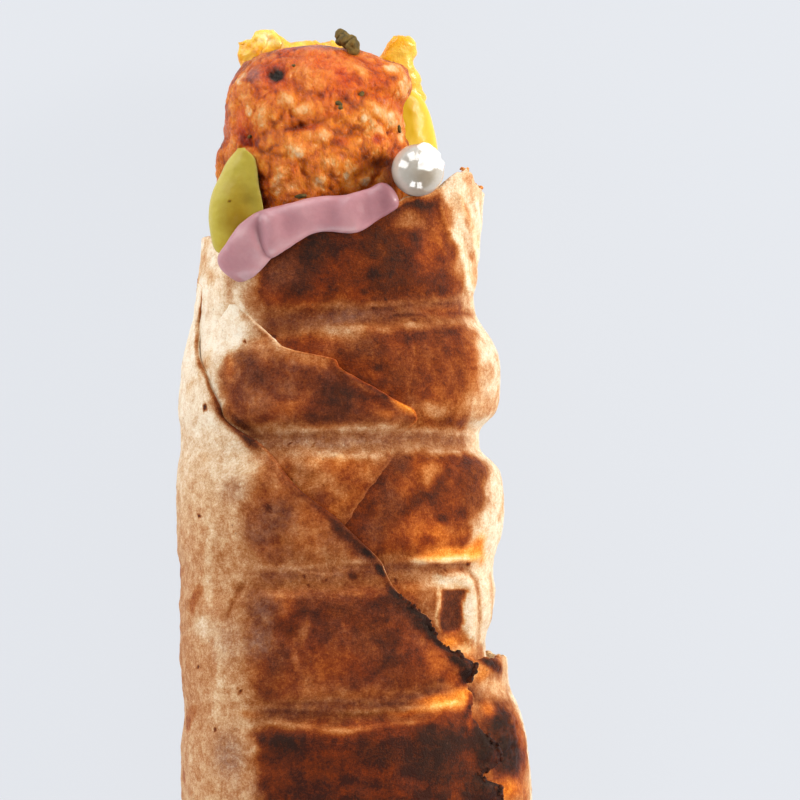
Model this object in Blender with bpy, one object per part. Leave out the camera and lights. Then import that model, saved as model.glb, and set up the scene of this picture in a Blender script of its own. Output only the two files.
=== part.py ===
"""Doner kebab wrap, lying on its griddle-pressed underside.

One flatbread is rolled round grilled chicken and toasted in a ribbed press, which leaves
raised brown bands between pale grooves.  The roll lies along Y, its closed end at -Y and its
open mouth at +Y.  Chicken, a pickle slice, fried potato and a strip of yellow pepper stand out
of the mouth, and two sauces lie on its front rim.  Lengths in this file are millimetres until
a mesh is made, +Z is up, and the origin ends below the middle of the whole wrap's box.
"""

import math

import bmesh
import bpy
import numpy as np
from mathutils import Vector, noise

MM = 0.001

# Where the middle of the finished wrap's box lies in the drawing frame used below.
BOX_CENTRE_X = 0.13
BOX_CENTRE_Y = -0.9

# The roll.
END_Y = -110.0
END_LENGTH = 13.0
END_ROUNDNESS = 3.2
SECTION_POWER = 2.25
UNDERSIDE_SINK = 2.5
SHOULDER = 1.0
BASE_FLOOR = 0.8
WALL = 3.2
INNER_FLOOR = BASE_FLOOR + WALL
RIM_ROUND = 0.7
GAP = 0.35
CUT = 0.6
CORE_INSET = -WALL - GAP
CORE_FLOOR = INNER_FLOOR + GAP
SEGMENTS = 28
WELD = 0.002

# Rings that draw the roll in at its closed end, as (y, share of the full section).
END_RINGS = [(-107.2, 0.14), (-108.6, 0.3), (-109.6, 0.43), (END_Y, 0.53)]
END_STEPS = (0.9, 2.6, 5.0, 8.5, 12.5)
HOLLOW_END_RINGS = [(-98, 0.9), (-99.6, 0.7)]
END_TIP = (0, -106.4, 25)
HOLLOW_END_TIP = (0, -99.6, 25)

# Side and top outlines of the innermost visible layer, as (y, value).
LEFT_SIDE = [(-110, -32), (-80, -34), (-50, -34.0), (-25, -34.2), (-5, -35), (12, -35.6),
             (38, -34.4), (55, -32.6), (67, -31.6), (80, -31.2)]
RIGHT_SIDE = [(-110, 31), (-80, 33), (-50, 32.5), (-35, 30.5), (-24, 28), (-17, 26.6),
              (-8, 28.4), (0, 29.2), (10, 30.4), (22, 30), (33, 29.8), (42, 29.3), (50, 26),
              (57, 25.2), (67, 25.6), (80, 26.4)]
TOP_HEIGHT = [(-110, 49), (-60, 52), (-20, 51), (20, 50), (50, 48), (67, 46.5), (80, 46)]

# The mouth's rim: (angle round the roll in degrees, y).  0 is the right side, 90 the top.
RIM = [(-90, 69.5), (-40, 74), (0, 75.8), (12, 76.4), (22, 77.4), (30, 80), (38, 79.2), (46, 77),
       (54, 76), (68, 73.7), (90, 70.5), (102, 68.5), (119, 65.5), (132, 62.2), (142, 62.2),
       (154, 65.6), (165, 66.6), (180, 66.5), (215, 67), (250, 68.5), (270, 69.5)]
RIM_BLEND_Y = 48.0
MOUTH_SHARES = (0.12, 0.34, 0.56, 0.78, 0.93)
HOLLOW_MOUTH_SHARES = (0.93, 0.7, 0.4, 0.12)

# Press grooves: y at x = 0, slope across the roll, then depth on the left, top and right.
GROOVES = [(50.0, 0.09, 0.4, 1.5, 1.2), (24.9, 0.0, 0.7, 2.1, 4.6), (-1.8, 0.04, 0.6, 2.0, 1.0),
           (-28.5, 0.09, 0.6, 2.0, 1.0), (-56.0, 0.05, 0.7, 2.1, 1.8), (-82.5, 0.02, 0.7, 2.1, 1.8)]
GROOVE_HALF_WIDTH = 4.2
GROOVE_RINGS = (-13, -5.6, -3, 0, 3, 5.6)

# Free edges of the rolled layers, seen from above, as (y, x of the edge).
LAYER = 1.5
UNDERLAP = 0.9
LEAST_THICK = 0.6
FLAP_A_EDGE = [(52.5, -24), (50.5, -21.8), (46.3, -17.3), (43.6, -14), (42.6, -10), (41.9, -6),
               (39.6, -3.4), (37.9, -0.2), (35.6, 4), (32.9, 8.4), (31.3, 11.6), (29.9, 12.7),
               (27.3, 11), (25, 8.2), (20.5, 7), (17, 4.6), (12.9, 1.5), (9.3, -1), (6, -3.5)]
FLAP_B_EDGE = [(55.7, -31.2), (52.7, -31.6), (46.7, -32.8), (42, -32.4), (37.8, -30.9),
               (32.6, -28.4), (29.1, -26.6), (27.3, -24.4), (25.1, -20.5), (20.8, -16.1),
               (18.6, -14.4), (13.3, -9.1), (10.3, -4.8), (7.7, -2.1), (4.2, 1.8), (0.5, 5.3),
               (-4.8, 8), (-7.8, 11.5), (-10.2, 14.4), (-13.1, 16.4), (-16.5, 18.6), (-18.6, 21.9),
               (-21.2, 24.6), (-23.6, 23.4), (-26.9, 24.3), (-29.9, 23.9), (-32.9, 25.6),
               (-35.9, 28.3), (-40.9, 28.8), (-42.4, 25.8), (-45.3, 29.2), (-50, 30), (-60, 29.2),
               (-72, 30.4), (-85, 29.6), (-105, 29)]
FLAP_B_BACK = [(55.7, 158), (58, 176), (61, 200), (64, 226), (66.5, 250)]
FLAP_R_TOP_Y = -18.9
FLAP_R_LIFT = 3.8

# The curled fold on the right, as (y, x, half width, half height).
FOLD = [(-0.6, 21.6, 1.3, 1.5), (-4.4, 24.2, 1.6, 1.9), (-9.5, 24.8, 1.6, 2.0),
        (-14, 23.6, 1.5, 1.8), (-18.5, 21.2, 1.2, 1.5)]

# Grilled chicken: (y, centre x, half width, centre z, half height).
CHICKEN = [(70, -8.4, 18.4, 26.8, 13.4),
           (78, -9.2, 18.7, 28.0, 14.0), (88, -8.6, 18.6, 28.8, 14.4), (95, -8.2, 17.6, 29, 13.8),
           (100, -8.0, 15.4, 28.6, 12.2), (103.4, -7.8, 12, 28, 9.6), (105.3, -7.6, 7, 27.4, 6)]
CHICKEN_TIP = (-7.5, 106.0, 27.2)
CHICKEN_LUMP = 3.0
CHICKEN_SQUARENESS = 0.86
CHICKEN_RINGS = (53, 57, 61, 65, 70, 76, 82, 88, 93, 97, 100.5, 103, 104.6, 105.3)
CHICKEN_END_RINGS = [(-99.2, 0.66), (-97.6, 0.88)]
CHICKEN_END_TIP = (0, -99.2, 25)
CORE_BLEND = (57, 71)
SLACK = 1.3

# The squeezed line of pink sauce, as (x, y, z, half width, half height).
PINK_LINE = [(-24.9, 57.6, 41.0, 4.3, 2.2), (-23.0, 60.6, 42.5, 4.9, 2.4),
             (-19.8, 65.4, 44.4, 4.8, 2.3), (-14.9, 68.0, 45.6, 4.2, 2.1),
             (-8.0, 70.3, 46.1, 3.5, 2.1), (-1.0, 70.9, 46.2, 3.8, 2.2),
             (4.2, 72.9, 45.5, 3.4, 2.2), (7.9, 75.2, 44.6, 3.2, 2.2)]

# The drop of white sauce.
DROP_CENTRE = (12.6, 79.6, 43.0)
DROP_RADIUS = 5.35
DROP_ROWS = 9
DROP_COLUMNS = 16

COLOURS = {
    "toasted_bread": (0.47, 0.25, 0.12),
    "grilled_chicken": (0.50, 0.16, 0.045),
    "pickle": (0.36, 0.30, 0.05),
    "yellow_pepper": (0.90, 0.55, 0.02),
    "fried_potato": (0.86, 0.45, 0.06),
    "pink_sauce": (0.66, 0.36, 0.38),
    "white_sauce": (0.82, 0.78, 0.70),
}


# ---------------------------------------------------------------- outlines

def through(stations, at):
    """Smooth curve through hand-set (position, value) stations, level beyond its ends."""
    rows = sorted(stations)
    px = np.array([r[0] for r in rows], float)
    pv = np.array([r[1] for r in rows], float)
    slope = np.gradient(pv, px)
    at = np.clip(np.asarray(at, float), px[0], px[-1])
    k = np.clip(np.searchsorted(px, at) - 1, 0, len(px) - 2)
    width = px[k + 1] - px[k]
    t = (at - px[k]) / width
    return (pv[k] * (1 + 2 * t) * (1 - t) ** 2 + pv[k + 1] * t * t * (3 - 2 * t)
            + width * (slope[k] * t * (1 - t) ** 2 + slope[k + 1] * t * t * (t - 1)))


def ease(t):
    t = np.clip(t, 0, 1)
    return t * t * (3 - 2 * t)


def flattened(z, floor):
    """Heights below the floor are pressed flat onto it, with a small rounded shoulder."""
    above = z - floor
    bend = floor + (above + SHOULDER) ** 2 / (4 * SHOULDER)
    return np.where(above < -SHOULDER, floor, np.where(above > SHOULDER, z, bend))


# ---------------------------------------------------------------- the roll's skin

def groove_dent(y, x, angle):
    """Depth of the press grooves at a place on the skin."""
    right = np.clip(np.cos(angle), 0, 1) ** 2
    left = np.clip(-np.cos(angle), 0, 1) ** 2
    top = 1 - right - left
    under = np.where(np.sin(angle) < 0, 0.45, 1.0)
    dent = np.zeros_like(np.asarray(y, float) + angle)
    for middle, slope, on_left, on_top, on_right in GROOVES:
        away = (y - middle - slope * x) / GROOVE_HALF_WIDTH
        depth = on_left * left + on_top * top * under + on_right * right
        dent = dent + depth / (1 + away ** 4)
    return dent


def end_scale(y):
    """How much the section has drawn in at y, near the closed end."""
    t = np.clip((END_Y + END_LENGTH - y) / END_LENGTH, 0, 0.999)
    return (1 - t ** END_ROUNDNESS) ** (1 / END_ROUNDNESS)


def skin(y, angle, level, floor=BASE_FLOOR, scale=None):
    """Point of the roll at y and angle, level mm outside the base layer, as x, z arrays."""
    left = through(LEFT_SIDE, y)
    right = through(RIGHT_SIDE, y)
    top = through(TOP_HEIGHT, y)
    shrink = end_scale(y) if scale is None else scale
    middle = (left + right) / 2
    half_width = (right - left) / 2
    half_height = (top + UNDERSIDE_SINK) / 2
    middle_z = top - half_height
    cosine = np.cos(angle)
    sine = np.sin(angle)
    power = 2 / SECTION_POWER
    across = np.sign(cosine) * np.abs(cosine) ** power
    up = np.sign(sine) * np.abs(sine) ** power
    normal_x = np.sign(cosine) * np.abs(across) ** (SECTION_POWER - 1) / half_width
    normal_z = np.sign(sine) * np.abs(up) ** (SECTION_POWER - 1) / half_height
    long = np.hypot(normal_x, normal_z)
    out = level - groove_dent(y, middle + half_width * across, angle)
    x = middle + (half_width * across + out * normal_x / long) * shrink
    z = middle_z + (half_height * up + out * normal_z / long) * shrink
    return x, flattened(z, floor)


def angle_at(y, x):
    """Angle of the skin's upper half where it has this x, seen from above."""
    left = through(LEFT_SIDE, y)
    right = through(RIGHT_SIDE, y)
    share = np.clip((2 * x - left - right) / (right - left), -1, 1)
    return np.arccos(np.sign(share) * np.abs(share) ** (SECTION_POWER / 2))


def lifted_angle_at(y, x, level):
    """Angle where a layer that stands level(y, angle) off the skin has this x."""
    turn = np.linspace(0.02, 3.12, 600)
    across, _ = skin(np.full(turn.shape, float(y)), turn, level(y, turn))
    across = np.minimum.accumulate(across)
    return float(np.interp(x, across[::-1], turn[::-1]))


def rim_y(angle):
    degrees = (np.degrees(angle) + 90) % 360 - 90
    return through(RIM, degrees)


# ---------------------------------------------------------------- meshes

def place(x, y, z):
    return ((x - BOX_CENTRE_X) * MM, (y - BOX_CENTRE_Y) * MM, z * MM)


def make_object(name, material, vertices, faces):
    """A closed mesh object with its faces turned outward and its material set."""
    mesh = bpy.data.meshes.new(name)
    mesh.from_pydata(vertices, [], faces)
    work = bmesh.new()
    work.from_mesh(mesh)
    bmesh.ops.triangulate(work, faces=work.faces)
    bmesh.ops.recalc_face_normals(work, faces=work.faces)
    if work.calc_volume(signed=True) < 0:
        bmesh.ops.reverse_faces(work, faces=work.faces)
    work.to_mesh(mesh)
    work.free()
    mesh.shade_smooth()
    mesh.materials.append(material_named(material))
    thing = bpy.data.objects.new(name, mesh)
    bpy.context.scene.collection.objects.link(thing)
    return thing


def material_named(name):
    found = bpy.data.materials.get(name)
    if found:
        return found
    made = bpy.data.materials.new(name)
    made.use_nodes = True
    shader = made.node_tree.nodes["Principled BSDF"]
    shader.inputs["Base Color"].default_value = (*COLOURS[name], 1)
    shader.inputs["Metallic"].default_value = 0
    glossy = name in ("white_sauce", "yellow_pepper", "pink_sauce", "pickle")
    shader.inputs["Roughness"].default_value = 0.25 if glossy else 0.6
    return made


def loft(name, material, rings, first_tip, last_tip):
    """Closed body through rings of equal point counts, ended by a fan at each tip."""
    count = len(rings[0])
    vertices = [point for ring in rings for point in ring]
    faces = []
    for k in range(len(rings) - 1):
        for j in range(count):
            nxt = (j + 1) % count
            faces.append((k * count + j, k * count + nxt,
                          (k + 1) * count + nxt, (k + 1) * count + j))
    vertices += [first_tip, last_tip]
    last = (len(rings) - 1) * count
    for j in range(count):
        nxt = (j + 1) % count
        faces.append((j, nxt, len(vertices) - 2))
        faces.append((last + j, last + nxt, len(vertices) - 1))
    return make_object(name, material, vertices, faces)


def slab(name, material, upper, lower):
    """Closed body between two equal grids of points that share no point."""
    rows = len(upper)
    columns = len(upper[0])
    vertices = [p for row in upper for p in row] + [p for row in lower for p in row]
    under = rows * columns
    faces = []
    for r in range(rows - 1):
        for c in range(columns - 1):
            a = r * columns + c
            faces.append((a, a + 1, a + columns + 1, a + columns))
            faces.append((under + a, under + a + columns, under + a + columns + 1, under + a + 1))
    border = ([(0, c) for c in range(columns)] + [(r, columns - 1) for r in range(1, rows)]
              + [(rows - 1, c) for c in range(columns - 2, -1, -1)]
              + [(r, 0) for r in range(rows - 2, 0, -1)])
    for k, (r, c) in enumerate(border):
        r2, c2 = border[(k + 1) % len(border)]
        a = r * columns + c
        b = r2 * columns + c2
        faces.append((a, under + a, under + b, b))
    return make_object(name, material, vertices, faces)


def sweep(name, material, path, widths, heights, around=10, grow=0.0):
    """Closed body along a smooth path of (x, y, z), elliptic across, with round ends."""
    steps = 3 * (len(path) - 1)
    at = np.arange(len(path), dtype=float)
    t = np.linspace(0, len(path) - 1, steps + 1)
    line = np.stack([through(list(zip(at, [p[i] for p in path])), t) for i in range(3)], 1)
    wide = through(list(zip(at, widths)), t) + grow
    high = through(list(zip(at, heights)), t) + grow
    along = np.gradient(line, axis=0)
    along /= np.linalg.norm(along, axis=1)[:, None]
    up = np.array([0.0, 0.0, 1.0])
    rings = []
    for k in range(steps + 1):
        side = np.cross(along[k], up)
        side /= np.linalg.norm(side)
        top = np.cross(side, along[k])
        edge = min(k, steps - k)
        rounding = math.sqrt(1 - (1 - min(1, (edge + 0.3) / 2.2)) ** 2)
        turn = 2 * math.pi * np.arange(around) / around
        ring = (line[k] + np.outer(np.cos(turn), side) * wide[k] * rounding
                + np.outer(np.sin(turn), top) * high[k] * rounding)
        rings.append([place(*p) for p in ring])
    reach = 0.35 + grow
    return loft(name, material, rings, place(*(line[0] - along[0] * reach)),
                place(*(line[-1] + along[-1] * reach)))


# ---------------------------------------------------------------- joining and cutting

def cutter(thing):
    thing.hide_render = True
    thing.display_type = "WIRE"
    return thing


def combine(target, tools, operation):
    """Boolean of the target with each tool, baked, keeping only its largest body."""
    for tool in tools:
        step = target.modifiers.new(operation.lower(), "BOOLEAN")
        step.operation = operation
        step.solver = "EXACT"
        step.object = cutter(tool)
    bpy.context.view_layer.update()
    evaluated = target.evaluated_get(bpy.context.evaluated_depsgraph_get())
    baked = bpy.data.meshes.new_from_object(evaluated)
    target.modifiers.clear()
    work = bmesh.new()
    work.from_mesh(baked)
    bmesh.ops.triangulate(work, faces=work.faces)
    bmesh.ops.remove_doubles(work, verts=work.verts, dist=WELD * MM)
    keep = largest_body(work)
    spare = [v for v in work.verts if v not in keep]
    bmesh.ops.delete(work, geom=spare, context="VERTS")
    work.to_mesh(baked)
    work.free()
    baked.shade_smooth()
    target.data = baked
    for tool in tools:
        bpy.data.objects.remove(tool)
    return target


def largest_body(work):
    """The vertices of the connected body that has the most of them."""
    left = set(work.verts)
    best = set()
    while left:
        body = set()
        front = [left.pop()]
        while front:
            vertex = front.pop()
            body.add(vertex)
            for edge in vertex.link_edges:
                other = edge.other_vert(vertex)
                if other in left:
                    left.discard(other)
                    front.append(other)
        if len(body) > len(best):
            best = body
    return best


# ---------------------------------------------------------------- flatbread

def angles():
    return 2 * math.pi * np.arange(SEGMENTS) / SEGMENTS


def body_stations():
    """Ring places along the straight part: close together beside each groove."""
    near = [middle + away for middle, *_ in GROOVES for away in GROOVE_RINGS]
    return sorted(y for y in near if END_Y + END_LENGTH < y < RIM_BLEND_Y)


def mouth_rings(level, floor, shares, beyond=0.0):
    """Rings that turn from a straight cut into the uneven rim of the mouth."""
    turn = angles()
    rings = []
    for share in shares:
        y = RIM_BLEND_Y + (rim_y(turn) + beyond - RIM_BLEND_Y) * share
        x, z = skin(y, turn, level, floor)
        rings.append([place(*p) for p in zip(x, y, z)])
    return rings


def straight_ring(y, level, floor, scale=None):
    x, z = skin(np.full(SEGMENTS, float(y)), angles(), level, floor, scale)
    return [place(px, y, pz) for px, pz in zip(x, z)]


def roll_base():
    """The inner layers: closed at -Y with a tucked end, open at the mouth."""
    rings = [straight_ring(y, 0, BASE_FLOOR, share) for y, share in END_RINGS]
    rings += [straight_ring(END_Y + away, 0, BASE_FLOOR) for away in END_STEPS]
    rings += [straight_ring(y, 0, BASE_FLOOR) for y in body_stations()]
    rings += mouth_rings(0, BASE_FLOOR, MOUTH_SHARES)
    rings += mouth_rings(-RIM_ROUND, BASE_FLOOR + RIM_ROUND, (1.0,))
    rings += mouth_rings(-WALL + RIM_ROUND, INNER_FLOOR - RIM_ROUND, (1.0,))
    rings += mouth_rings(-WALL, INNER_FLOOR, HOLLOW_MOUTH_SHARES)
    rings += [straight_ring(y, -WALL, INNER_FLOOR) for y in core_stations()]
    rings += [straight_ring(y, -WALL, INNER_FLOOR, share) for y, share in HOLLOW_END_RINGS]
    return loft("flatbread", "toasted_bread", rings, place(*END_TIP), place(*HOLLOW_END_TIP))


def core_stations():
    """Fewer rings for the hollow, from the mouth towards the closed end."""
    return list(reversed(body_stations()))[::4]


def patch(name, rows, columns, start_angle, end_angle, level, floor):
    """A layer of bread lying on the roll from one angle to another, as a closed slab."""
    upper = []
    lower = []
    for y in rows:
        start = float(start_angle(y))
        turn = start + (end_angle(y) - start) * np.linspace(0, 1, columns)
        lift = level(y, turn)
        x, z = skin(np.full(columns, y), turn, lift, floor)
        upper.append([place(px, y, pz) for px, pz in zip(x, z)])
        sunk = np.minimum(lift - LEAST_THICK, -UNDERLAP)
        x, z = skin(np.full(columns, y), turn, sunk, BASE_FLOOR + LEAST_THICK)
        lower.append([place(px, y, pz) for px, pz in zip(x, z)])
    return slab(name, "toasted_bread", upper, lower)


def flap_a():
    """The pointed corner of the middle layer, whose tip lies on the front."""
    def level(y, turn):
        fade = ease((math.radians(175) - turn) / 0.9)
        rise = ease((54 - y) / 8)
        return -0.4 + (LAYER + 0.4) * fade * rise

    def start(y):
        return lifted_angle_at(y, through(FLAP_A_EDGE, y), level)

    return patch("flap_a", np.linspace(52.5, 6, 24), 8, start, lambda y: math.radians(190), level,
                 0.2)


def crisp_level(y, turn):
    """Level of the crisp outer layer, which stands off the roll on the right."""
    side = np.exp(-((turn - math.radians(-5)) / math.radians(36)) ** 2)
    closing = ease((y - END_Y - 3.5) / 12)
    return -0.4 + (0.8 + FLAP_R_LIFT * side) * closing


def flap_r():
    """The crisp outer layer on the lower right, which slips under the front flap."""
    rows = np.linspace(FLAP_R_TOP_Y, END_Y + 4, 22)
    return patch("flap_r", rows, 13, lambda y: math.radians(-95), lambda y: math.radians(66),
                 crisp_level, 0.4)


def flap_b():
    """The outermost layer, from its diagonal free edge round the left side to the underside."""
    def level(y, turn):
        over_a = ease((y - 4) / 6) * ease((44 - y) / 10) * ease((math.radians(150) - turn) / 0.5)
        over_r = ease((-13 - y) / 7) * np.maximum(crisp_level(y, turn), 0)
        closing = ease((y - END_Y - 3.5) / 8)
        return -0.5 + (LAYER + 0.5 + 1.2 * over_a + over_r) * closing

    def start(y):
        if y > FLAP_B_EDGE[0][0]:
            return math.radians(through(FLAP_B_BACK, y))
        return lifted_angle_at(y, through(FLAP_B_EDGE, y), level)

    rows = np.concatenate([np.arange(66, -2, -4), np.arange(-4, -50, -2.2),
                           np.arange(-52, END_Y + 8, -5), [END_Y + 5, END_Y + 3]])
    return patch("flap_b", rows, 11, start, lambda y: math.radians(295), level, 0.0)


def pocket_fold():
    """The pale curled fold on the right, above the crisp layer."""
    path = []
    for y, x, *_ in FOLD:
        _, z = skin(np.array([float(y)]), angle_at(y, np.array([float(x)])), 0.1)
        path.append((x, y, float(z[0])))
    return sweep("pocket_fold", "toasted_bread", path, [row[2] for row in FOLD],
                 [row[3] for row in FOLD], around=6)


def end_tuck():
    """The bread folded up over the closed end, with its free edge across the end's middle."""
    rows = 7
    columns = 9
    upper = []
    lower = []
    for r in range(rows):
        height = 4 + 27 * r / (rows - 1)
        reach = 22 - 4.5 * (r / (rows - 1)) ** 2
        outer = []
        inner = []
        for c in range(columns):
            share = 2 * c / (columns - 1) - 1
            bow = 2.6 * share ** 2 + 2.2 * ((height - 22) / 18) ** 2
            x = reach * share - 1
            z = height + 2.5 * share ** 2 * (r / (rows - 1)) + 1.5 * share
            outer.append(place(x, END_Y - 1.5 + bow, z))
            inner.append(place(0.9 * x, END_Y + 6.3 + 0.5 * bow, 0.9 * z + 2))
        upper.append(outer)
        lower.append(inner)
    return slab("end_tuck", "toasted_bread", upper, lower)


def flatbread():
    return combine(roll_base(), [end_tuck(), flap_a(), flap_r(), flap_b(), pocket_fold()], "UNION")


# ---------------------------------------------------------------- fillings

def chicken_ring(y, grow):
    """One section of the chicken that stands out of the mouth, with its lumps."""
    rows = list(zip(*CHICKEN))
    x0, wide, z0, high = (float(through(list(zip(rows[0], rows[i])), y)) for i in (1, 2, 3, 4))
    turn = angles()
    packed_x, packed_z = skin(np.full(SEGMENTS, y), turn, CORE_INSET - SLACK + grow,
                              CORE_FLOOR + SLACK - grow)
    loose = ease((y - CORE_BLEND[0]) / (CORE_BLEND[1] - CORE_BLEND[0]))
    ring = []
    for a, px, pz in zip(turn, packed_x, packed_z):
        lump = CHICKEN_LUMP * noise.noise(Vector((1.7 * math.cos(a), 0.1 * y, 1.7 * math.sin(a))))
        out = 1 + (lump + grow) / max(high, 6)
        across = math.copysign(abs(math.cos(a)) ** CHICKEN_SQUARENESS, math.cos(a))
        up = math.copysign(abs(math.sin(a)) ** CHICKEN_SQUARENESS, math.sin(a))
        x = px + (x0 + wide * out * across - px) * loose
        z = pz + (z0 + high * out * up - pz) * loose
        ring.append(place(x, y, z))
    return ring


def chicken_filling(name="chicken_filling", grow=0.0):
    """The chicken: packed round in the roll, a loose lumpy piece where it leaves the mouth."""
    level = CORE_INSET + grow
    floor = CORE_FLOOR - grow
    rings = [straight_ring(y, level, floor, share) for y, share in CHICKEN_END_RINGS]
    rings += [straight_ring(y, level, floor) for y in reversed(core_stations())]
    rings += [chicken_ring(y, grow) for y in CHICKEN_RINGS]
    x, y, z = CHICKEN_TIP
    return loft(name, "grilled_chicken", rings, place(*CHICKEN_END_TIP), place(x, y + grow, z))


def pad(name, material, across, along, outline, middle_z, thick, grow=0.0):
    """A flat piece of food: outline(s, t) gives x and y, and its faces bulge off middle_z."""
    upper = []
    lower = []
    for t in np.linspace(0, 1, along):
        top_row = []
        low_row = []
        for s in np.linspace(0, 1, across):
            x, y = outline(s, t)
            edge = (1 - (2 * s - 1) ** 4) * (1 - (2 * t - 1) ** 8)
            half = 0.35 * thick + 0.65 * thick * math.sqrt(max(edge, 0)) + grow
            x += grow * (2 * s - 1) * 1.3
            y += grow * (2 * t - 1) * 1.3
            z = middle_z(s, t)
            top_row.append(place(x, y, z + half))
            low_row.append(place(x, y, z - half))
        upper.append(top_row)
        lower.append(low_row)
    return slab(name, material, upper, lower)


def pickle_slice(name="pickle_slice", grow=0.0):
    """A lengthwise gherkin slice, rounded at its top, leaning on the chicken's left flank."""
    def outline(s, t):
        half = 5.2 * (1 - abs(2 * t - 0.9) ** 2.6 * 0.62)
        lean = -27.2 + 3.6 * t - 1.2 * math.sin(math.pi * t)
        return lean + half * (2 * s - 1) + 1.6, 56.5 + 27.6 * t - 2.2 * (2 * s - 1) ** 2 * t ** 3

    def middle_z(s, t):
        return 37.2 + 2.6 * s - 3.0 * (1 - t)

    return pad(name, "pickle", 7, 10, outline, middle_z, 2.2, grow)


def yellow_pepper(name="yellow_pepper", grow=0.0):
    """A bowed strip of yellow pepper on the chicken's right."""
    def outline(s, t):
        return 9.2 + 7.4 * s - 4.4 * t ** 2 * s - 2.2 * t ** 2, 66 + 31 * t

    def middle_z(s, t):
        return 31.5 - (5 * s + 4 * s * s) * (1 - 0.75 * t ** 2) - 4 * t

    return pad(name, "yellow_pepper", 6, 9, outline, middle_z, 1.7, 1.4 * grow)


def fried_potato_left(name="fried_potato_left", grow=0.0):
    """A broad fried potato slice behind the chicken, with two lobes at its top edge."""
    def outline(s, t):
        x = -24.6 + 22.6 * s
        lobe = 3.6 * math.exp(-((s - 0.2) / 0.2) ** 2) + 1.6 * math.exp(-((s - 0.6) / 0.17) ** 2)
        top = 106.3 + lobe - 3.2 * abs(2 * s - 1) ** 5
        return x + 3.4 * (1 - t) * (0.5 - s), 63 + (top - 63) * t

    def middle_z(s, t):
        return 10.4 + 1.6 * s + 6.5 * t ** 2 - 1.2 * math.sin(6 * t)

    return pad(name, "fried_potato", 10, 8, outline, middle_z, 3.4, grow)


def fried_potato_right(name="fried_potato_right", grow=0.0):
    """A narrow fried potato stick behind the chicken's right shoulder."""
    def outline(s, t):
        centre = 6.5 + 2.4 * t + 2.2 * math.sin(3.1 * t)
        half = 4.6 - 0.8 * t ** 2
        return centre + half * (2 * s - 1), 62 + (46.4 - 1.8 * (2 * s - 1) ** 2) * t

    def middle_z(s, t):
        return 13.5 + 6.5 * t ** 1.5 - 1.5 * s

    return pad(name, "fried_potato", 6, 9, outline, middle_z, 3.3, grow)


# ---------------------------------------------------------------- sauces

def pink_ribbon():
    """A thick squeezed line of pink sauce along the front rim, doubled back at its left end."""
    return sweep("pink_sauce", "pink_sauce", [row[:3] for row in PINK_LINE],
                 [row[3] for row in PINK_LINE], [row[4] for row in PINK_LINE])


def white_drop(name="white_sauce_drop", grow=0.0):
    """A nearly round blob of white sauce, with a slightly flattened cap towards +Y."""
    cx, cy, cz = DROP_CENTRE
    radius = DROP_RADIUS + grow
    rings = []
    for row in range(1, DROP_ROWS):
        polar = math.pi * row / DROP_ROWS
        ring = []
        for turn in 2 * math.pi * np.arange(DROP_COLUMNS) / DROP_COLUMNS:
            x = radius * math.sin(polar) * math.cos(turn)
            y = radius * math.sin(polar) * math.sin(turn)
            cap = 0.5 * ease((y - 0.4 * radius) / radius) * ease((x + 1) / 4)
            ring.append(place(cx + x, cy + y + cap, cz - radius * math.cos(polar)))
        rings.append(ring)
    return loft(name, "white_sauce", rings, place(cx, cy, cz - radius), place(cx, cy, cz + radius))


def mouth_cutter():
    """The mouth end of the bread, a gap thicker on every side, as a short cup."""
    round_off = 0.5
    rings = [straight_ring(y, GAP, BASE_FLOOR) for y in (40.0, 44.0)]
    rings += mouth_rings(GAP, BASE_FLOOR, MOUTH_SHARES, GAP)
    rings += mouth_rings(-round_off, BASE_FLOOR + round_off, (1.0,), GAP)
    rings += mouth_rings(-WALL + round_off, CORE_FLOOR - round_off, (1.0,), GAP)
    rings += mouth_rings(CORE_INSET, CORE_FLOOR, HOLLOW_MOUTH_SHARES, GAP)
    return loft("mouth_cutter", "toasted_bread", rings, place(-3, 40, 24), place(-3, 48, 24))


def main():
    for thing in list(bpy.data.objects):
        bpy.data.objects.remove(thing)
    flatbread()
    chicken = chicken_filling()
    combine(chicken, [pickle_slice("cut_pickle", CUT), yellow_pepper("cut_pepper", CUT),
                      fried_potato_left("cut_left", CUT), fried_potato_right("cut_right", CUT)],
            "DIFFERENCE")
    combine(pickle_slice(), [mouth_cutter()], "DIFFERENCE")
    combine(yellow_pepper(), [fried_potato_right("cut_right", CUT)], "DIFFERENCE")
    fried_potato_left()
    fried_potato_right()
    combine(pink_ribbon(), [mouth_cutter(), chicken_filling("cut_chicken", GAP),
                            pickle_slice("cut_pickle", CUT), white_drop("cut_drop", GAP)],
            "DIFFERENCE")
    combine(white_drop(), [mouth_cutter(), chicken_filling("cut_chicken", GAP),
                           yellow_pepper("cut_pepper", CUT)], "DIFFERENCE")


main()
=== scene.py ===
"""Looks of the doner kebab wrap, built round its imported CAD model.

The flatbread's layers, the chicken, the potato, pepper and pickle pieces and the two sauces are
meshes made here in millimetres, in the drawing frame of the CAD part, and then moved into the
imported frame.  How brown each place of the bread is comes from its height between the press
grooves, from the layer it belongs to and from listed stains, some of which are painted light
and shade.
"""

import math

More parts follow.
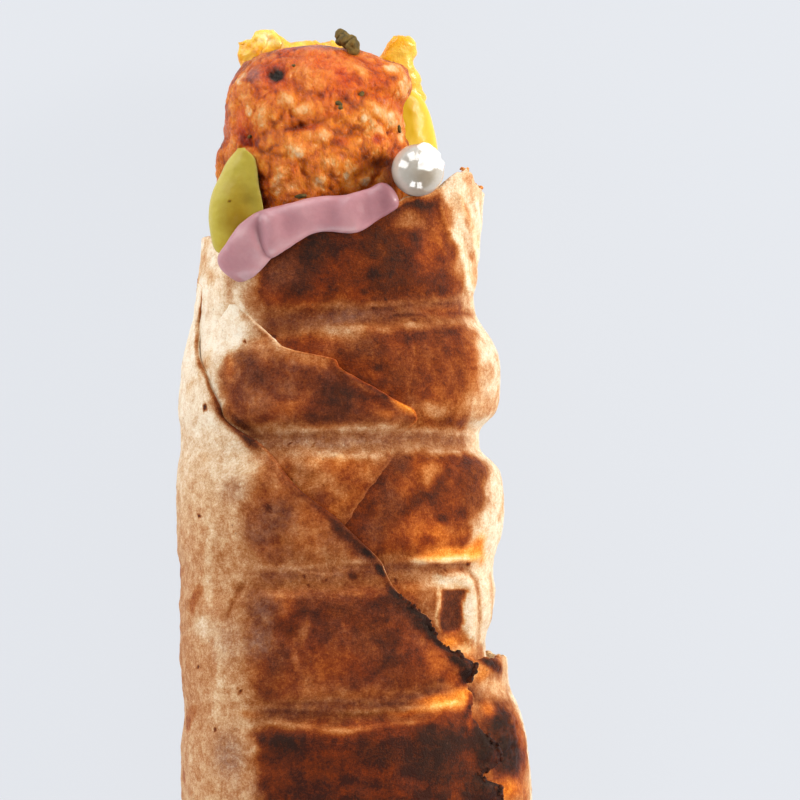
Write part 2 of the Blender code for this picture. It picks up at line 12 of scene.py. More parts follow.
import bpy
import numpy as np
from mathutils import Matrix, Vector


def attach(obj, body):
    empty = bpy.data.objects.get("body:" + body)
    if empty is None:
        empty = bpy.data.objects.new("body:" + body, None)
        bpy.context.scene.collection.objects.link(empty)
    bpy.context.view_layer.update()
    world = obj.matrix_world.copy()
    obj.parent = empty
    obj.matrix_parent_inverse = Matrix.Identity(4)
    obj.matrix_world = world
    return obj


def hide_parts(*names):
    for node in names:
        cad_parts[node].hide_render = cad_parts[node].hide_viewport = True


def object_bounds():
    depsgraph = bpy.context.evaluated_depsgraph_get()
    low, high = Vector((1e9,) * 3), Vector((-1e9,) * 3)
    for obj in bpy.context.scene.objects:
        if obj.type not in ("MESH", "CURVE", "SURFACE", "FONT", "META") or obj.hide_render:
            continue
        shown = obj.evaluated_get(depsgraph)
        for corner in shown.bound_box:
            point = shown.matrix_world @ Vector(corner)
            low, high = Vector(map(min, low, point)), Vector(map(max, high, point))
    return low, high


MM = 0.001
BOX_CENTRE = np.array([0.13, -0.9, 0.0])

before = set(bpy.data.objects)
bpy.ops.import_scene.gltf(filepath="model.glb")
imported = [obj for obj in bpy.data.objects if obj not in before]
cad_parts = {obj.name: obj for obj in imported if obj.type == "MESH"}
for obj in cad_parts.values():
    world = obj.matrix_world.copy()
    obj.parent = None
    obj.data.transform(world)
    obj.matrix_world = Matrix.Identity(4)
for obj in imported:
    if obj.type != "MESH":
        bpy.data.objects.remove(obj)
cad_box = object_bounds()
CAD_LOW = np.array(cad_box[0]) / MM + BOX_CENTRE
CAD_HIGH = np.array(cad_box[1]) / MM + BOX_CENTRE

# ---------------------------------------------------------------- the roll's sizes, mm

END_Y = -110.0
END_LENGTH = 13.0
END_ROUNDNESS = 3.2
SECTION_POWER = 2.25
UNDERSIDE_SINK = 2.5
BASE_FLOOR = 0.8
WALL = 3.2

LEFT_SIDE = [(-110, -32), (-80, -34), (-50, -34.0), (-25, -34.2), (-5, -35), (12, -35.6),
             (38, -34.4), (55, -32.6), (67, -31.6), (80, -31.2)]
RIGHT_SIDE = [(-110, 31), (-80, 33), (-50, 32.5), (-35, 30.5), (-24, 28), (-17, 26.6),
              (-8, 28.4), (0, 29.2), (10, 30.4), (22, 30), (33, 29.8), (42, 29.3), (50, 26),
              (57, 25.2), (67, 25.6), (80, 26.4)]
TOP_HEIGHT = [(-110, 49), (-60, 52), (-20, 51), (20, 50), (50, 48), (67, 46.5), (80, 46)]
RIM = [(-90, 69.5), (-40, 74), (0, 75.8), (12, 76.4), (22, 77.4), (30, 80), (38, 79.2), (46, 77),
       (54, 76), (68, 73.7), (90, 70.5), (102, 68.5), (119, 65.5), (132, 62.2), (142, 62.2),
       (154, 65.6), (165, 66.6), (180, 66.5), (215, 67), (250, 68.5), (270, 69.5)]
RIM_BLEND_Y = 48.0
GROOVES = [(50.0, 0.09, 0.4, 1.5, 1.2), (24.9, 0.0, 0.7, 2.1, 4.6), (-1.8, 0.04, 0.6, 2.0, 1.0),
           (-28.5, 0.09, 0.6, 2.0, 1.0), (-56.0, 0.05, 0.7, 2.1, 1.8), (-82.5, 0.02, 0.7, 2.1, 1.8)]
GROOVE_HALF_WIDTH = 4.2
LAYER = 1.5
FLAP_A_EDGE = [(52.5, -24), (50.5, -21.8), (46.3, -17.3), (43.6, -14), (42.6, -10), (41.9, -6),
               (39.6, -3.4), (37.9, -0.2), (35.6, 4), (32.9, 8.4), (31.3, 11.6), (29.9, 12.7),
               (27.3, 11), (25, 8.2), (20.5, 7), (17, 4.6), (12.9, 1.5), (9.3, -1), (6, -3.5)]
FLAP_B_EDGE = [(55.7, -31.2), (52.7, -31.6), (46.7, -32.8), (42, -32.4), (37.8, -30.9),
               (32.6, -28.4), (29.1, -26.6), (27.3, -24.4), (25.1, -20.5), (20.8, -16.1),
               (18.6, -14.4), (13.3, -9.1), (10.3, -4.8), (7.7, -2.1), (4.2, 1.8), (0.5, 5.3),
               (-4.8, 8), (-7.8, 11.5), (-10.2, 14.4), (-13.1, 16.4), (-16.5, 18.6), (-18.6, 21.9),
               (-21.2, 24.6), (-23.6, 23.4), (-26.9, 24.3), (-29.9, 23.9), (-32.9, 25.6),
               (-35.9, 28.3), (-40.9, 28.8), (-42.4, 25.8), (-45.3, 29.2), (-50, 30), (-60, 29.2),
               (-72, 30.4), (-85, 29.6), (-105, 29)]
FLAP_B_BACK = [(55.7, 158), (58, 176), (61, 200), (64, 226), (66.5, 250)]
FLAP_R_TOP_Y = -18.9
FLAP_R_LIFT = 3.8


# ---------------------------------------------------------------- curves and noise

def through(stations, at):
    """Smooth curve through given (position, value) stations, level beyond its ends."""
    rows = sorted(stations)
    px = np.array([r[0] for r in rows], float)
    pv = np.array([r[1] for r in rows], float)
    slope = np.gradient(pv, px)
    at = np.clip(np.asarray(at, float), px[0], px[-1])
    k = np.clip(np.searchsorted(px, at) - 1, 0, len(px) - 2)
    width = px[k + 1] - px[k]
    t = (at - px[k]) / width
    return (pv[k] * (1 + 2 * t) * (1 - t) ** 2 + pv[k + 1] * t * t * (3 - 2 * t)
            + width * (slope[k] * t * (1 - t) ** 2 + slope[k + 1] * t * t * (t - 1)))


def ease(t):
    t = np.clip(t, 0, 1)
    return t * t * (3 - 2 * t)


def lattice(ix, iy, iz, seed):
    """Repeatable value from 0 to 1 for each whole-number cell."""
    n = ix * 374761393 + iy * 668265263 + iz * 1442695041 + seed * 1013904223
    n = (n ^ (n >> 13)) * 1274126177 & 0x7FFFFFFF
    n = (n ^ (n >> 15)) * 2246822519 & 0x7FFFFFFF
    return ((n ^ (n >> 16)) & 0xFFFF) / 0xFFFF


# Turns noise so that its cells don't line up with the roll.
NOISE_TURN = np.array([[0.80, -0.36, 0.48], [0.60, 0.48, -0.64], [0.0, 0.80, 0.60]])


def patchy(points, size, seed=0):
    """Smooth noise from -1 to 1 at each point, in patches about size mm across."""
    q = points @ NOISE_TURN / size + 100.5
    base = np.floor(q).astype(np.int64)
    f = q - base
    f = f * f * (3 - 2 * f)
    total = np.zeros(len(points))
    for corner in range(8):
        step = np.array([corner & 1, corner >> 1 & 1, corner >> 2 & 1])
        weight = np.prod(np.where(step, f, 1 - f), axis=1)
        total += weight * lattice(*(base + step).T, seed)
    return 2 * total - 1


def cloudy(points, size, layers=3, seed=0):
    """Noise with finer and fainter layers on top, from about -1 to 1."""
    total = np.zeros(len(points))
    for k in range(layers):
        total += patchy(points, size / 2 ** k, seed + 17 * k) / 2 ** k
    return total / (2 - 2 ** (1 - layers))


def nodules(points, size, seed=0):
    """Rounded lumps about size mm across: 1 at a lump's middle, 0 in the creases."""
    q = points / size + 50.5
    base = np.floor(q).astype(np.int64)
    nearest = np.full(len(points), 9.0)
    second = np.full(len(points), 9.0)
    for dx in (-1, 0, 1):
        for dy in (-1, 0, 1):
            for dz in (-1, 0, 1):
                cell = base + (dx, dy, dz)
                jitter = np.stack([lattice(*cell.T, seed + s) for s in (1, 2, 3)], 1)
                gap = np.linalg.norm(cell + jitter - q, axis=1)
                second = np.minimum(second, np.maximum(gap, nearest))
                nearest = np.minimum(nearest, gap)
    return np.clip((second - nearest) * 1.6, 0, 1) ** 0.6


def folds(points, size, seed=0):
    """Rounded swellings between winding creases: 1 on a swelling, 0 along a crease."""
    bent = points + 0.35 * size * np.stack([patchy(points, size, seed + s) for s in (5, 6, 7)], 1)
    return np.sqrt(np.clip(2.2 * np.abs(patchy(bent, size, seed)), 0, 1))


# ---------------------------------------------------------------- the roll's skin

def flattened(z, floor):
    """Heights below the floor are pressed flat onto it, with a small rounded shoulder."""
    shoulder = 1.0
    above = z - floor
    bend = floor + (above + shoulder) ** 2 / (4 * shoulder)
    return np.where(above < -shoulder, floor, np.where(above > shoulder, z, bend))


def groove_dent(y, x, angle):
    """Depth of the press grooves at a place on the skin."""
    right = np.clip(np.cos(angle), 0, 1) ** 2
    left = np.clip(-np.cos(angle), 0, 1) ** 2
    top = 1 - right - left
    under = np.where(np.sin(angle) < 0, 0.45, 1.0)
    dent = np.zeros_like(y + angle)
    for middle, slope, on_left, on_top, on_right in GROOVES:
        away = (y - middle - slope * x) / GROOVE_HALF_WIDTH
        depth = on_left * left + on_top * top * under + on_right * right
        dent = dent + depth / (1 + away ** 4)
    return dent


def end_scale(y):
    """How much the section has drawn in at y, near the closed end."""
    t = np.clip((END_Y + END_LENGTH - y) / END_LENGTH, 0, 0.9995)
    return (1 - t ** END_ROUNDNESS) ** (1 / END_ROUNDNESS)


def skin(y, angle, level, floor=BASE_FLOOR, scale=None):
    """Points of the roll at y and angle, level mm outside the base layer."""
    y = np.asarray(y, float) + np.zeros_like(angle)
    left = through(LEFT_SIDE, y)
    right = through(RIGHT_SIDE, y)
    top = through(TOP_HEIGHT, y)
    shrink = end_scale(y) if scale is None else scale
    middle = (left + right) / 2
    half_width = (right - left) / 2
    half_height = (top + UNDERSIDE_SINK) / 2
    middle_z = top - half_height
    cosine = np.cos(angle)
    sine = np.sin(angle)
    power = 2 / SECTION_POWER
    across = np.sign(cosine) * np.abs(cosine) ** power
    up = np.sign(sine) * np.abs(sine) ** power
    normal_x = np.sign(cosine) * np.abs(across) ** (SECTION_POWER - 1) / half_width
    normal_z = np.sign(sine) * np.abs(up) ** (SECTION_POWER - 1) / half_height
    long = np.hypot(normal_x, normal_z)
    out = level - groove_dent(y, middle + half_width * across, angle)
    x = middle + (half_width * across + out * normal_x / long) * shrink
    z = middle_z + (half_height * up + out * normal_z / long) * shrink
    return np.stack([x, y, flattened(z, floor)], -1)


def angle_at(y, x):
    """Angle of the skin's upper half where it has this x, seen from above."""
    left = through(LEFT_SIDE, y)
    right = through(RIGHT_SIDE, y)
    share = np.clip((2 * x - left - right) / (right - left), -1, 1)
    return np.arccos(np.sign(share) * np.abs(share) ** (SECTION_POWER / 2))


def lifted_angles_at(rows, edge_x, level):
    """Angles where a layer that stands level(y, angle) off the skin has these x."""
    turn = np.linspace(0.02, 3.12, 600)
    found = []
    for y, x in zip(rows, edge_x):
        across = skin(np.full(turn.shape, y), turn, level(np.full(turn.shape, y), turn))[:, 0]
        across = np.minimum.accumulate(across)
        found.append(np.interp(x, across[::-1], turn[::-1]))
    return np.array(found)


def rim_y(angle):
    degrees = (np.degrees(angle) + 90) % 360 - 90
    return through(RIM, degrees)


# ---------------------------------------------------------------- making pieces

def add_piece(name, points, quads, material, node, rings=(), paint=None):
    """A smooth mesh from points in mm, which rides on the body and stands for a CAD node."""
    points = np.clip(points, CAD_LOW + 0.02, CAD_HIGH - 0.02)
    points[:, 2] = np.maximum(points[:, 2], 0.0)
    mesh = bpy.data.meshes.new(name)
    quads = np.asarray(quads, np.int32)
    flat = [quads.ravel()] + [np.asarray(r, np.int32) for r in rings]
    starts = list(np.arange(0, quads.size, 4))
    at = quads.size
    for ring in rings:
        starts.append(at)
        at += len(ring)
    mesh.vertices.add(len(points))
    mesh.vertices.foreach_set("co", ((points - BOX_CENTRE) * MM).ravel())
    mesh.loops.add(at)
    mesh.loops.foreach_set("vertex_index", np.concatenate(flat))
    mesh.polygons.add(len(starts))
    mesh.polygons.foreach_set("loop_start", np.array(starts, np.int32))
    mesh.update(calc_edges=True)
    mesh.validate()
    if paint is not None:
        layer = mesh.attributes.new("cook", "FLOAT_COLOR", "POINT")
        rgba = np.ones((len(points), 4))
        rgba[:, :3] = paint
        layer.data.foreach_set("color", rgba.ravel())
    mesh.shade_smooth()
    mesh.materials.append(material)
    piece = bpy.data.objects.new(name, mesh)
    bpy.context.scene.collection.objects.link(piece)
    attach(piece, "root")
    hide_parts(node)
    return piece


def grid_quads(rows, columns, start=0, closed=False, flip=False):
    """Quads of a grid of points; a closed grid's last column joins its first."""
    r = np.arange(rows - 1)[:, None]
    c = np.arange(columns if closed else columns - 1)[None, :]
    nxt = (c + 1) % columns
    a = start + r * columns + c
    b = start + r * columns + nxt
    quads = np.stack([a, b, b + columns, a + columns], -1).reshape(-1, 4)
    return quads[:, ::-1] if flip else quads


def slab_quads(rows, columns):
    """Quads of a closed sheet: its upper grid, its lower grid and the rim between them."""
    under = rows * columns
    border = np.concatenate([np.arange(columns), np.arange(1, rows) * columns + columns - 1,
                             (rows - 1) * columns + np.arange(columns - 2, -1, -1),
                             np.arange(rows - 2, 0, -1) * columns])
    after = np.roll(border, -1)
    rim = np.stack([border, border + under, after + under, after], -1)
    return np.concatenate([grid_quads(rows, columns), grid_quads(rows, columns, under, flip=True),
                           rim])


def from_edge(count, fine, step, length):
    """Distances from a rounded free edge: close together first, then even steps to length."""
    first = np.array([0.0, 0.06, 0.2, 0.42, 0.75])
    fine_part = first[-1] + step * np.arange(1, fine + 1)
    rest = np.linspace(fine_part[-1], length, count - len(first) - fine + 1)[1:]
    return np.concatenate([first, fine_part, rest])


def edge_round(distance, thick):
    """How far a sheet's face drops towards its middle near an edge, 0 away from it."""
    reach = thick / 2
    t = np.clip(1 - distance / reach, 0, 1)
    return reach * (1 - np.sqrt(1 - t * t))


def ring_piece(name, rings, material, node, paint):
    """A closed body from rings of points, an array of ring, point, coordinate."""
    count, size, _ = rings.shape
    first = list(range(size))
    last = [(count - 1) * size + k for k in range(size)]
    return add_piece(name, rings.reshape(-1, 3), grid_quads(count, size, closed=True), material,
                     node, rings=(first[::-1], last), paint=paint.reshape(-1, 3))


def outward(rings):
    """Unit normals of closed rings of points."""
    along = np.gradient(rings, axis=0)
    around = np.roll(rings, -1, axis=1) - np.roll(rings, 1, axis=1)
    normal = np.cross(around, along)
    size = np.linalg.norm(normal, axis=2, keepdims=True)
    normal = normal / np.maximum(size, 1e-9)
    centre = rings.mean(axis=1, keepdims=True)
    turned = np.sign((normal * (rings - centre)).sum(axis=2).mean())
    return normal * turned


def nuggets(name, rows, material, node, rough, paint):
    """Small crumpled bits, each a closed lump, as one mesh."""
    points, quads, caps = [], [], []
    count, around = 18, 26
    polar = math.pi * (np.arange(count) + 0.5)[:, None] / count
    turn = 2 * math.pi * np.arange(around)[None, :] / around
    for x, y, z, rx, ry, rz, degrees in rows:
        c, s = math.cos(math.radians(degrees)), math.sin(math.radians(degrees))
        u = rx * np.sin(polar) * np.cos(turn)
        v = ry * np.sin(polar) * np.sin(turn)
        w = -rz * np.cos(polar) + 0 * turn
        ball = np.stack([x + u * c - v * s, y + u * s + v * c, z + w], -1).reshape(-1, 3)
        size = 1 + rough * cloudy(ball, 0.9 * min(rx, ry) + 0.3, 3, 231)
        middle = np.array([x, y, z])
        start = sum(len(p) for p in points)
        points.append(middle + (ball - middle) * size[:, None])
        quads.append(grid_quads(count, around, start, closed=True))
        caps.append([start + k for k in range(around)][::-1])
        caps.append([start + (count - 1) * around + k for k in range(around)])
    points = np.concatenate(points)
    add_piece(name, points, np.concatenate(quads), material, node, rings=caps,
              paint=np.array(paint) + 0.2 * cloudy(points, 0.8, 2, 233)[:, None] * (1, 0, 0))


def top_of(piece, x, y):
    """Height in mm of a made piece's upper surface at x, y."""
    up = Vector(((x - BOX_CENTRE[0]) * MM, (y - BOX_CENTRE[1]) * MM, 0.2))
    hit, place, *_ = piece.ray_cast(up, Vector((0, 0, -1)))
    return place.z / MM if hit else 30.0


# ---------------------------------------------------------------- wrinkles of the bread

# Ridges (or creases, where the height is negative): points (x, y), half width, height.
BASE_RIDGES = [
    ([(17.0, 74.5), (18.4, 69.8), (20.8, 65.0), (22.8, 60.0), (24.4, 53.4)], 0.75, 1.0),
    ([(20.4, 76.5), (22.4, 71.0), (24.4, 66.5), (25.6, 60.0)], 0.8, 0.8),
    ([(19.0, 73.6), (20.6, 69.4), (22.6, 65.2), (24.4, 60.6)], 0.6, -0.6),
    ([(23.8, 75.0), (25.0, 71.0), (26.2, 67.0)], 0.6, 0.5),
    ([(13.2, 72.5), (15.0, 68.0), (17.6, 63.6), (19.6, 58.0)], 0.8, 0.35),
    ([(-13.6, 49.6), (-11.6, 51.6), (-7.0, 52.2), (3.0, 52.4), (14, 53.0), (24, 53.6)], 0.8, 0.3),
    ([(-12.6, 46.2), (-8.0, 47.2), (3.0, 47.6), (14, 48.2), (24.5, 49.2)], 1.2, 0.5),
    ([(-28.8, 63.0), (-28.0, 54.0), (-29.0, 44.0)], 1.6, 0.35),
    ([(-25.4, 60.0), (-25.2, 52.0), (-26.4, 45.0)], 1.4, -0.35),
    ([(6.0, 50.0), (14.0, 50.8), (21.0, 50.6), (25.5, 50.4)], 0.5, -0.4),
    ([(8.5, 26.5), (16.0, 26.8), (24.0, 26.2)], 0.7, 0.3),
    ([(9.5, 22.6), (16.0, 22.4), (24.5, 22.8)], 0.7, 0.4),
    ([(10.0, 1.0), (17.0, 0.9), (23.0, 1.0), (25.6, 2.0)], 0.9, 0.75),
    ([(16.5, -4.2), (16.6, -8.0), (17.0, -14.0)], 0.45, 0.5),
    ([(9.0, -4.6), (14.0, -4.2), (18.6, -3.6)], 0.9, 0.35),
]
# The pale folds beside the pocket on the right.
POCKET_RIDGES = [
    ([(15.0, -3.0), (19.0, -2.5), (22.0, -3.2), (23.6, -5.4), (23.9, -8.6), (23.6, -12.6),
      (22.6, -18.0)], 1.15, 1.5),
    ([(20.5, -0.9), (22.9, -1.9), (24.5, -3.4), (25.3, -7.1), (25.3, -11.0), (24.8, -17.0)],
     0.5, -0.9),
    ([(24.6, -1.4), (26.4, -4.0), (27.0, -8.0), (26.8, -12.6), (25.8, -18.0)], 1.0, 0.8),
    ([(27.4, -2.0), (28.2, -7.0), (27.8, -13.0)], 0.5, -0.5),
]
A_RIDGES = [
    ([(-24.5, 46.0), (-23.6, 41.0), (-24.6, 36.0)], 1.2, 0.35),
    ([(-17.5, 26.6), (-8.0, 26.9), (2.0, 27.3), (9.5, 28.0)], 0.8, 0.35),
    ([(-14.0, 22.0), (-5.0, 21.8), (6.0, 21.7)], 0.8, 0.35),
    ([(-4.6, 40.6), (-1.0, 37.4), (4.0, 34.6), (9.0, 32.6), (13.4, 30.0)], 0.8, 0.5),
]
B_RIDGES = [
    ([(-21.0, -0.7), (-12.0, -0.6), (-2.0, 0.4), (6.0, 0.6)], 0.7, 0.35),
    ([(-22.5, -6.6), (-12.0, -6.2), (-2.0, -5.8), (8.0, -5.6)], 0.8, 0.3),
    ([(-22.0, -3.6), (-23.9, -6.2), (-25.9, -11.0)], 0.6, -0.45),
    ([(-22.0, -29.4), (-12, -28.9), (-2.0, -29.5), (8, -29.0), (16, -28.3), (24, -27.6)], 0.7, 0.5),
    ([(-20.0, -31.6), (-9, -32.9), (-1.0, -33.3), (9, -31.7), (20, -30.7)], 0.8, 0.5),
    ([(-18.0, -27.6), (-6, -27.2), (6.0, -27.6), (15, -26.4)], 0.6, 0.3),
    ([(-29.0, 8.0), (-30.2, -2.0), (-29.0, -10.0)], 1.2, 0.3),
    ([(-27.6, -13.0), (-27.0, -22.0), (-28.4, -33.0)], 1.3, 0.35),
    ([(-20.8, -34.0), (-20.2, -41.0), (-20.8, -50.0)], 1.1, 0.45),
    ([(-18.0, -9.0), (-16.6, -15.0), (-14.6, -22.0)], 1.6, 0.3),
    ([(-12.6, -9.0), (-11.4, -15.0), (-10.0, -21.0)], 1.2, -0.25),
]
# Painted shade lines in creases: beside the pocket, and at the mouth's right corner.
POCKET_CREASES = [
    ([(19.5, -1.0), (22.9, -1.9), (24.5, -3.4), (25.2, -7.1), (25.2, -12.0), (24.6, -18.0)],
     0.45, 0.9),
    ([(27.4, -2.0), (28.2, -7.0), (27.8, -13.0)], 0.5, 0.5),
    ([(20.0, 77.0), (21.6, 71.6), (23.4, 66.6), (24.6, 61.0)], 0.5, 0.45),
    ([(23.0, 77.6), (24.2, 73.0), (25.4, 68.6)], 0.4, 0.4),
    ([(14.0, -1.6), (18.0, -1.4), (22.4, -1.2)], 0.5, 0.3),
]
# Tone of the painted crease shade.
CREASE_TONE = (0.58, 0.15, 0.2)
# Blisters: x, y, half sizes, turn in degrees, height.
BASE_BLISTERS = [(23.6, 2.4, 2.4, 1.9, 0, 0.9), (24.5, 18.5, 3.0, 2.6, 0, 0.5),
                 (21.0, 42.5, 4.0, 3.0, 0, 0.45), (5.0, 63.0, 7.0, 5.0, 0, 0.45),
                 (19.8, -9.8, 2.6, 4.2, 0, -0.9), (-13.0, 57.5, 5.0, 4.0, 0, 0.3)]
A_BLISTERS = [(-20.0, 37.5, 4.5, 4.0, 0, 0.5), (-4.0, 33.5, 6.0, 4.0, -20, 0.4),
              (-14.5, 32.0, 4.0, 2.6, 0, 0.3)]
B_BLISTERS = [(22.0, -20.6, 2.6, 1.5, -45, 0.9), (26.4, -37.5, 1.9, 3.6, 8, 0.8),
              (26.0, -45.2, 2.4, 1.8, 0, 0.7), (-16.0, 9.5, 5.0, 4.0, 0, 0.4),
              (1.0, -16.0, 9.0, 7.0, 0, 0.5), (-24.5, -16.0, 3.5, 6.0, 0, 0.3),
              (3.0, -42.0, 12.0, 7.0, 0, 0.5), (18.0, -37.0, 5.0, 4.0, 0, 0.35)]
R_BLISTERS = [(27.6, -21.2, 2.2, 2.0, 0, 0.7), (31.2, -35.0, 3.0, 6.0, 8, 0.6),
              (31.0, -45.6, 2.6, 2.0, 0, 0.5)]


def to_line(x, y, path):
    """Distance of each place from a bent line, and how far along it lies, from 0 to 1."""
    best = np.full(x.shape, 1e9)
    share = np.zeros(x.shape)
    steps = len(path) - 1
    for k, ((ax, ay), (bx, by)) in enumerate(zip(path, path[1:])):
        dx, dy = bx - ax, by - ay
        t = np.clip(((x - ax) * dx + (y - ay) * dy) / (dx * dx + dy * dy), 0, 1)
        gap = np.hypot(x - ax - t * dx, y - ay - t * dy)
        closer = gap < best
        best = np.where(closer, gap, best)
        share = np.where(closer, (k + t) / steps, share)
    return best, share


def oval(x, y, row):
    """Squared distance from an oval spot's middle, 1 at its rim."""
    cx, cy, rx, ry, turn = row[:5]
    c, s = math.cos(math.radians(turn)), math.sin(math.radians(turn))
    u = ((x - cx) * c + (y - cy) * s) / rx
    v = ((y - cy) * c - (x - cx) * s) / ry
    return u * u + v * v


def ridge_field(points, ridges, widen=1.0, wander_mm=0.7):
    """Summed height of the named ridges at each point."""
    wander = np.stack([cloudy(points, 7, 2, s) for s in (3, 5)], 1)
    x = points[:, 0] + wander_mm * wander[:, 0]
    y = points[:, 1] + wander_mm * wander[:, 1]
    rise = np.zeros(len(points))
    for path, width, height in ridges:
        gap, share = to_line(x, y, path)
        ends = ease(share / 0.12) * ease((1 - share) / 0.12)
        uneven = 0.75 + 0.7 * cloudy(points, 5, 2, 6)
        rise += height * ends * uneven * np.exp(-(gap / (width * widen)) ** 2)
    return rise


def relief(points, ridges, blisters, facing):
    """Height of wrinkles, blisters and general unevenness at each point, in mm."""
    wander = np.stack([cloudy(points, 7, 2, s) for s in (3, 5)], 1)
    x = points[:, 0] + 0.7 * wander[:, 0]
    y = points[:, 1] + 0.7 * wander[:, 1]
    long_way = points * np.array([1.0, 0.28, 1.0])
    rise = 0.45 * cloudy(points, 13, 2, 7) + 0.16 * cloudy(points, 3.6, 2, 9)
    rise += 0.22 * cloudy(long_way, 3.4, 2, 13) + 0.06 * patchy(points, 1.1, 11)
    rise += 0.22 * (1 - facing) * cloudy(points, 1.9, 3, 15)
    rise += facing * ridge_field(points, ridges)
    for row in blisters:
        rise += facing * row[5] * np.exp(-oval(x, y, row))
    return rise
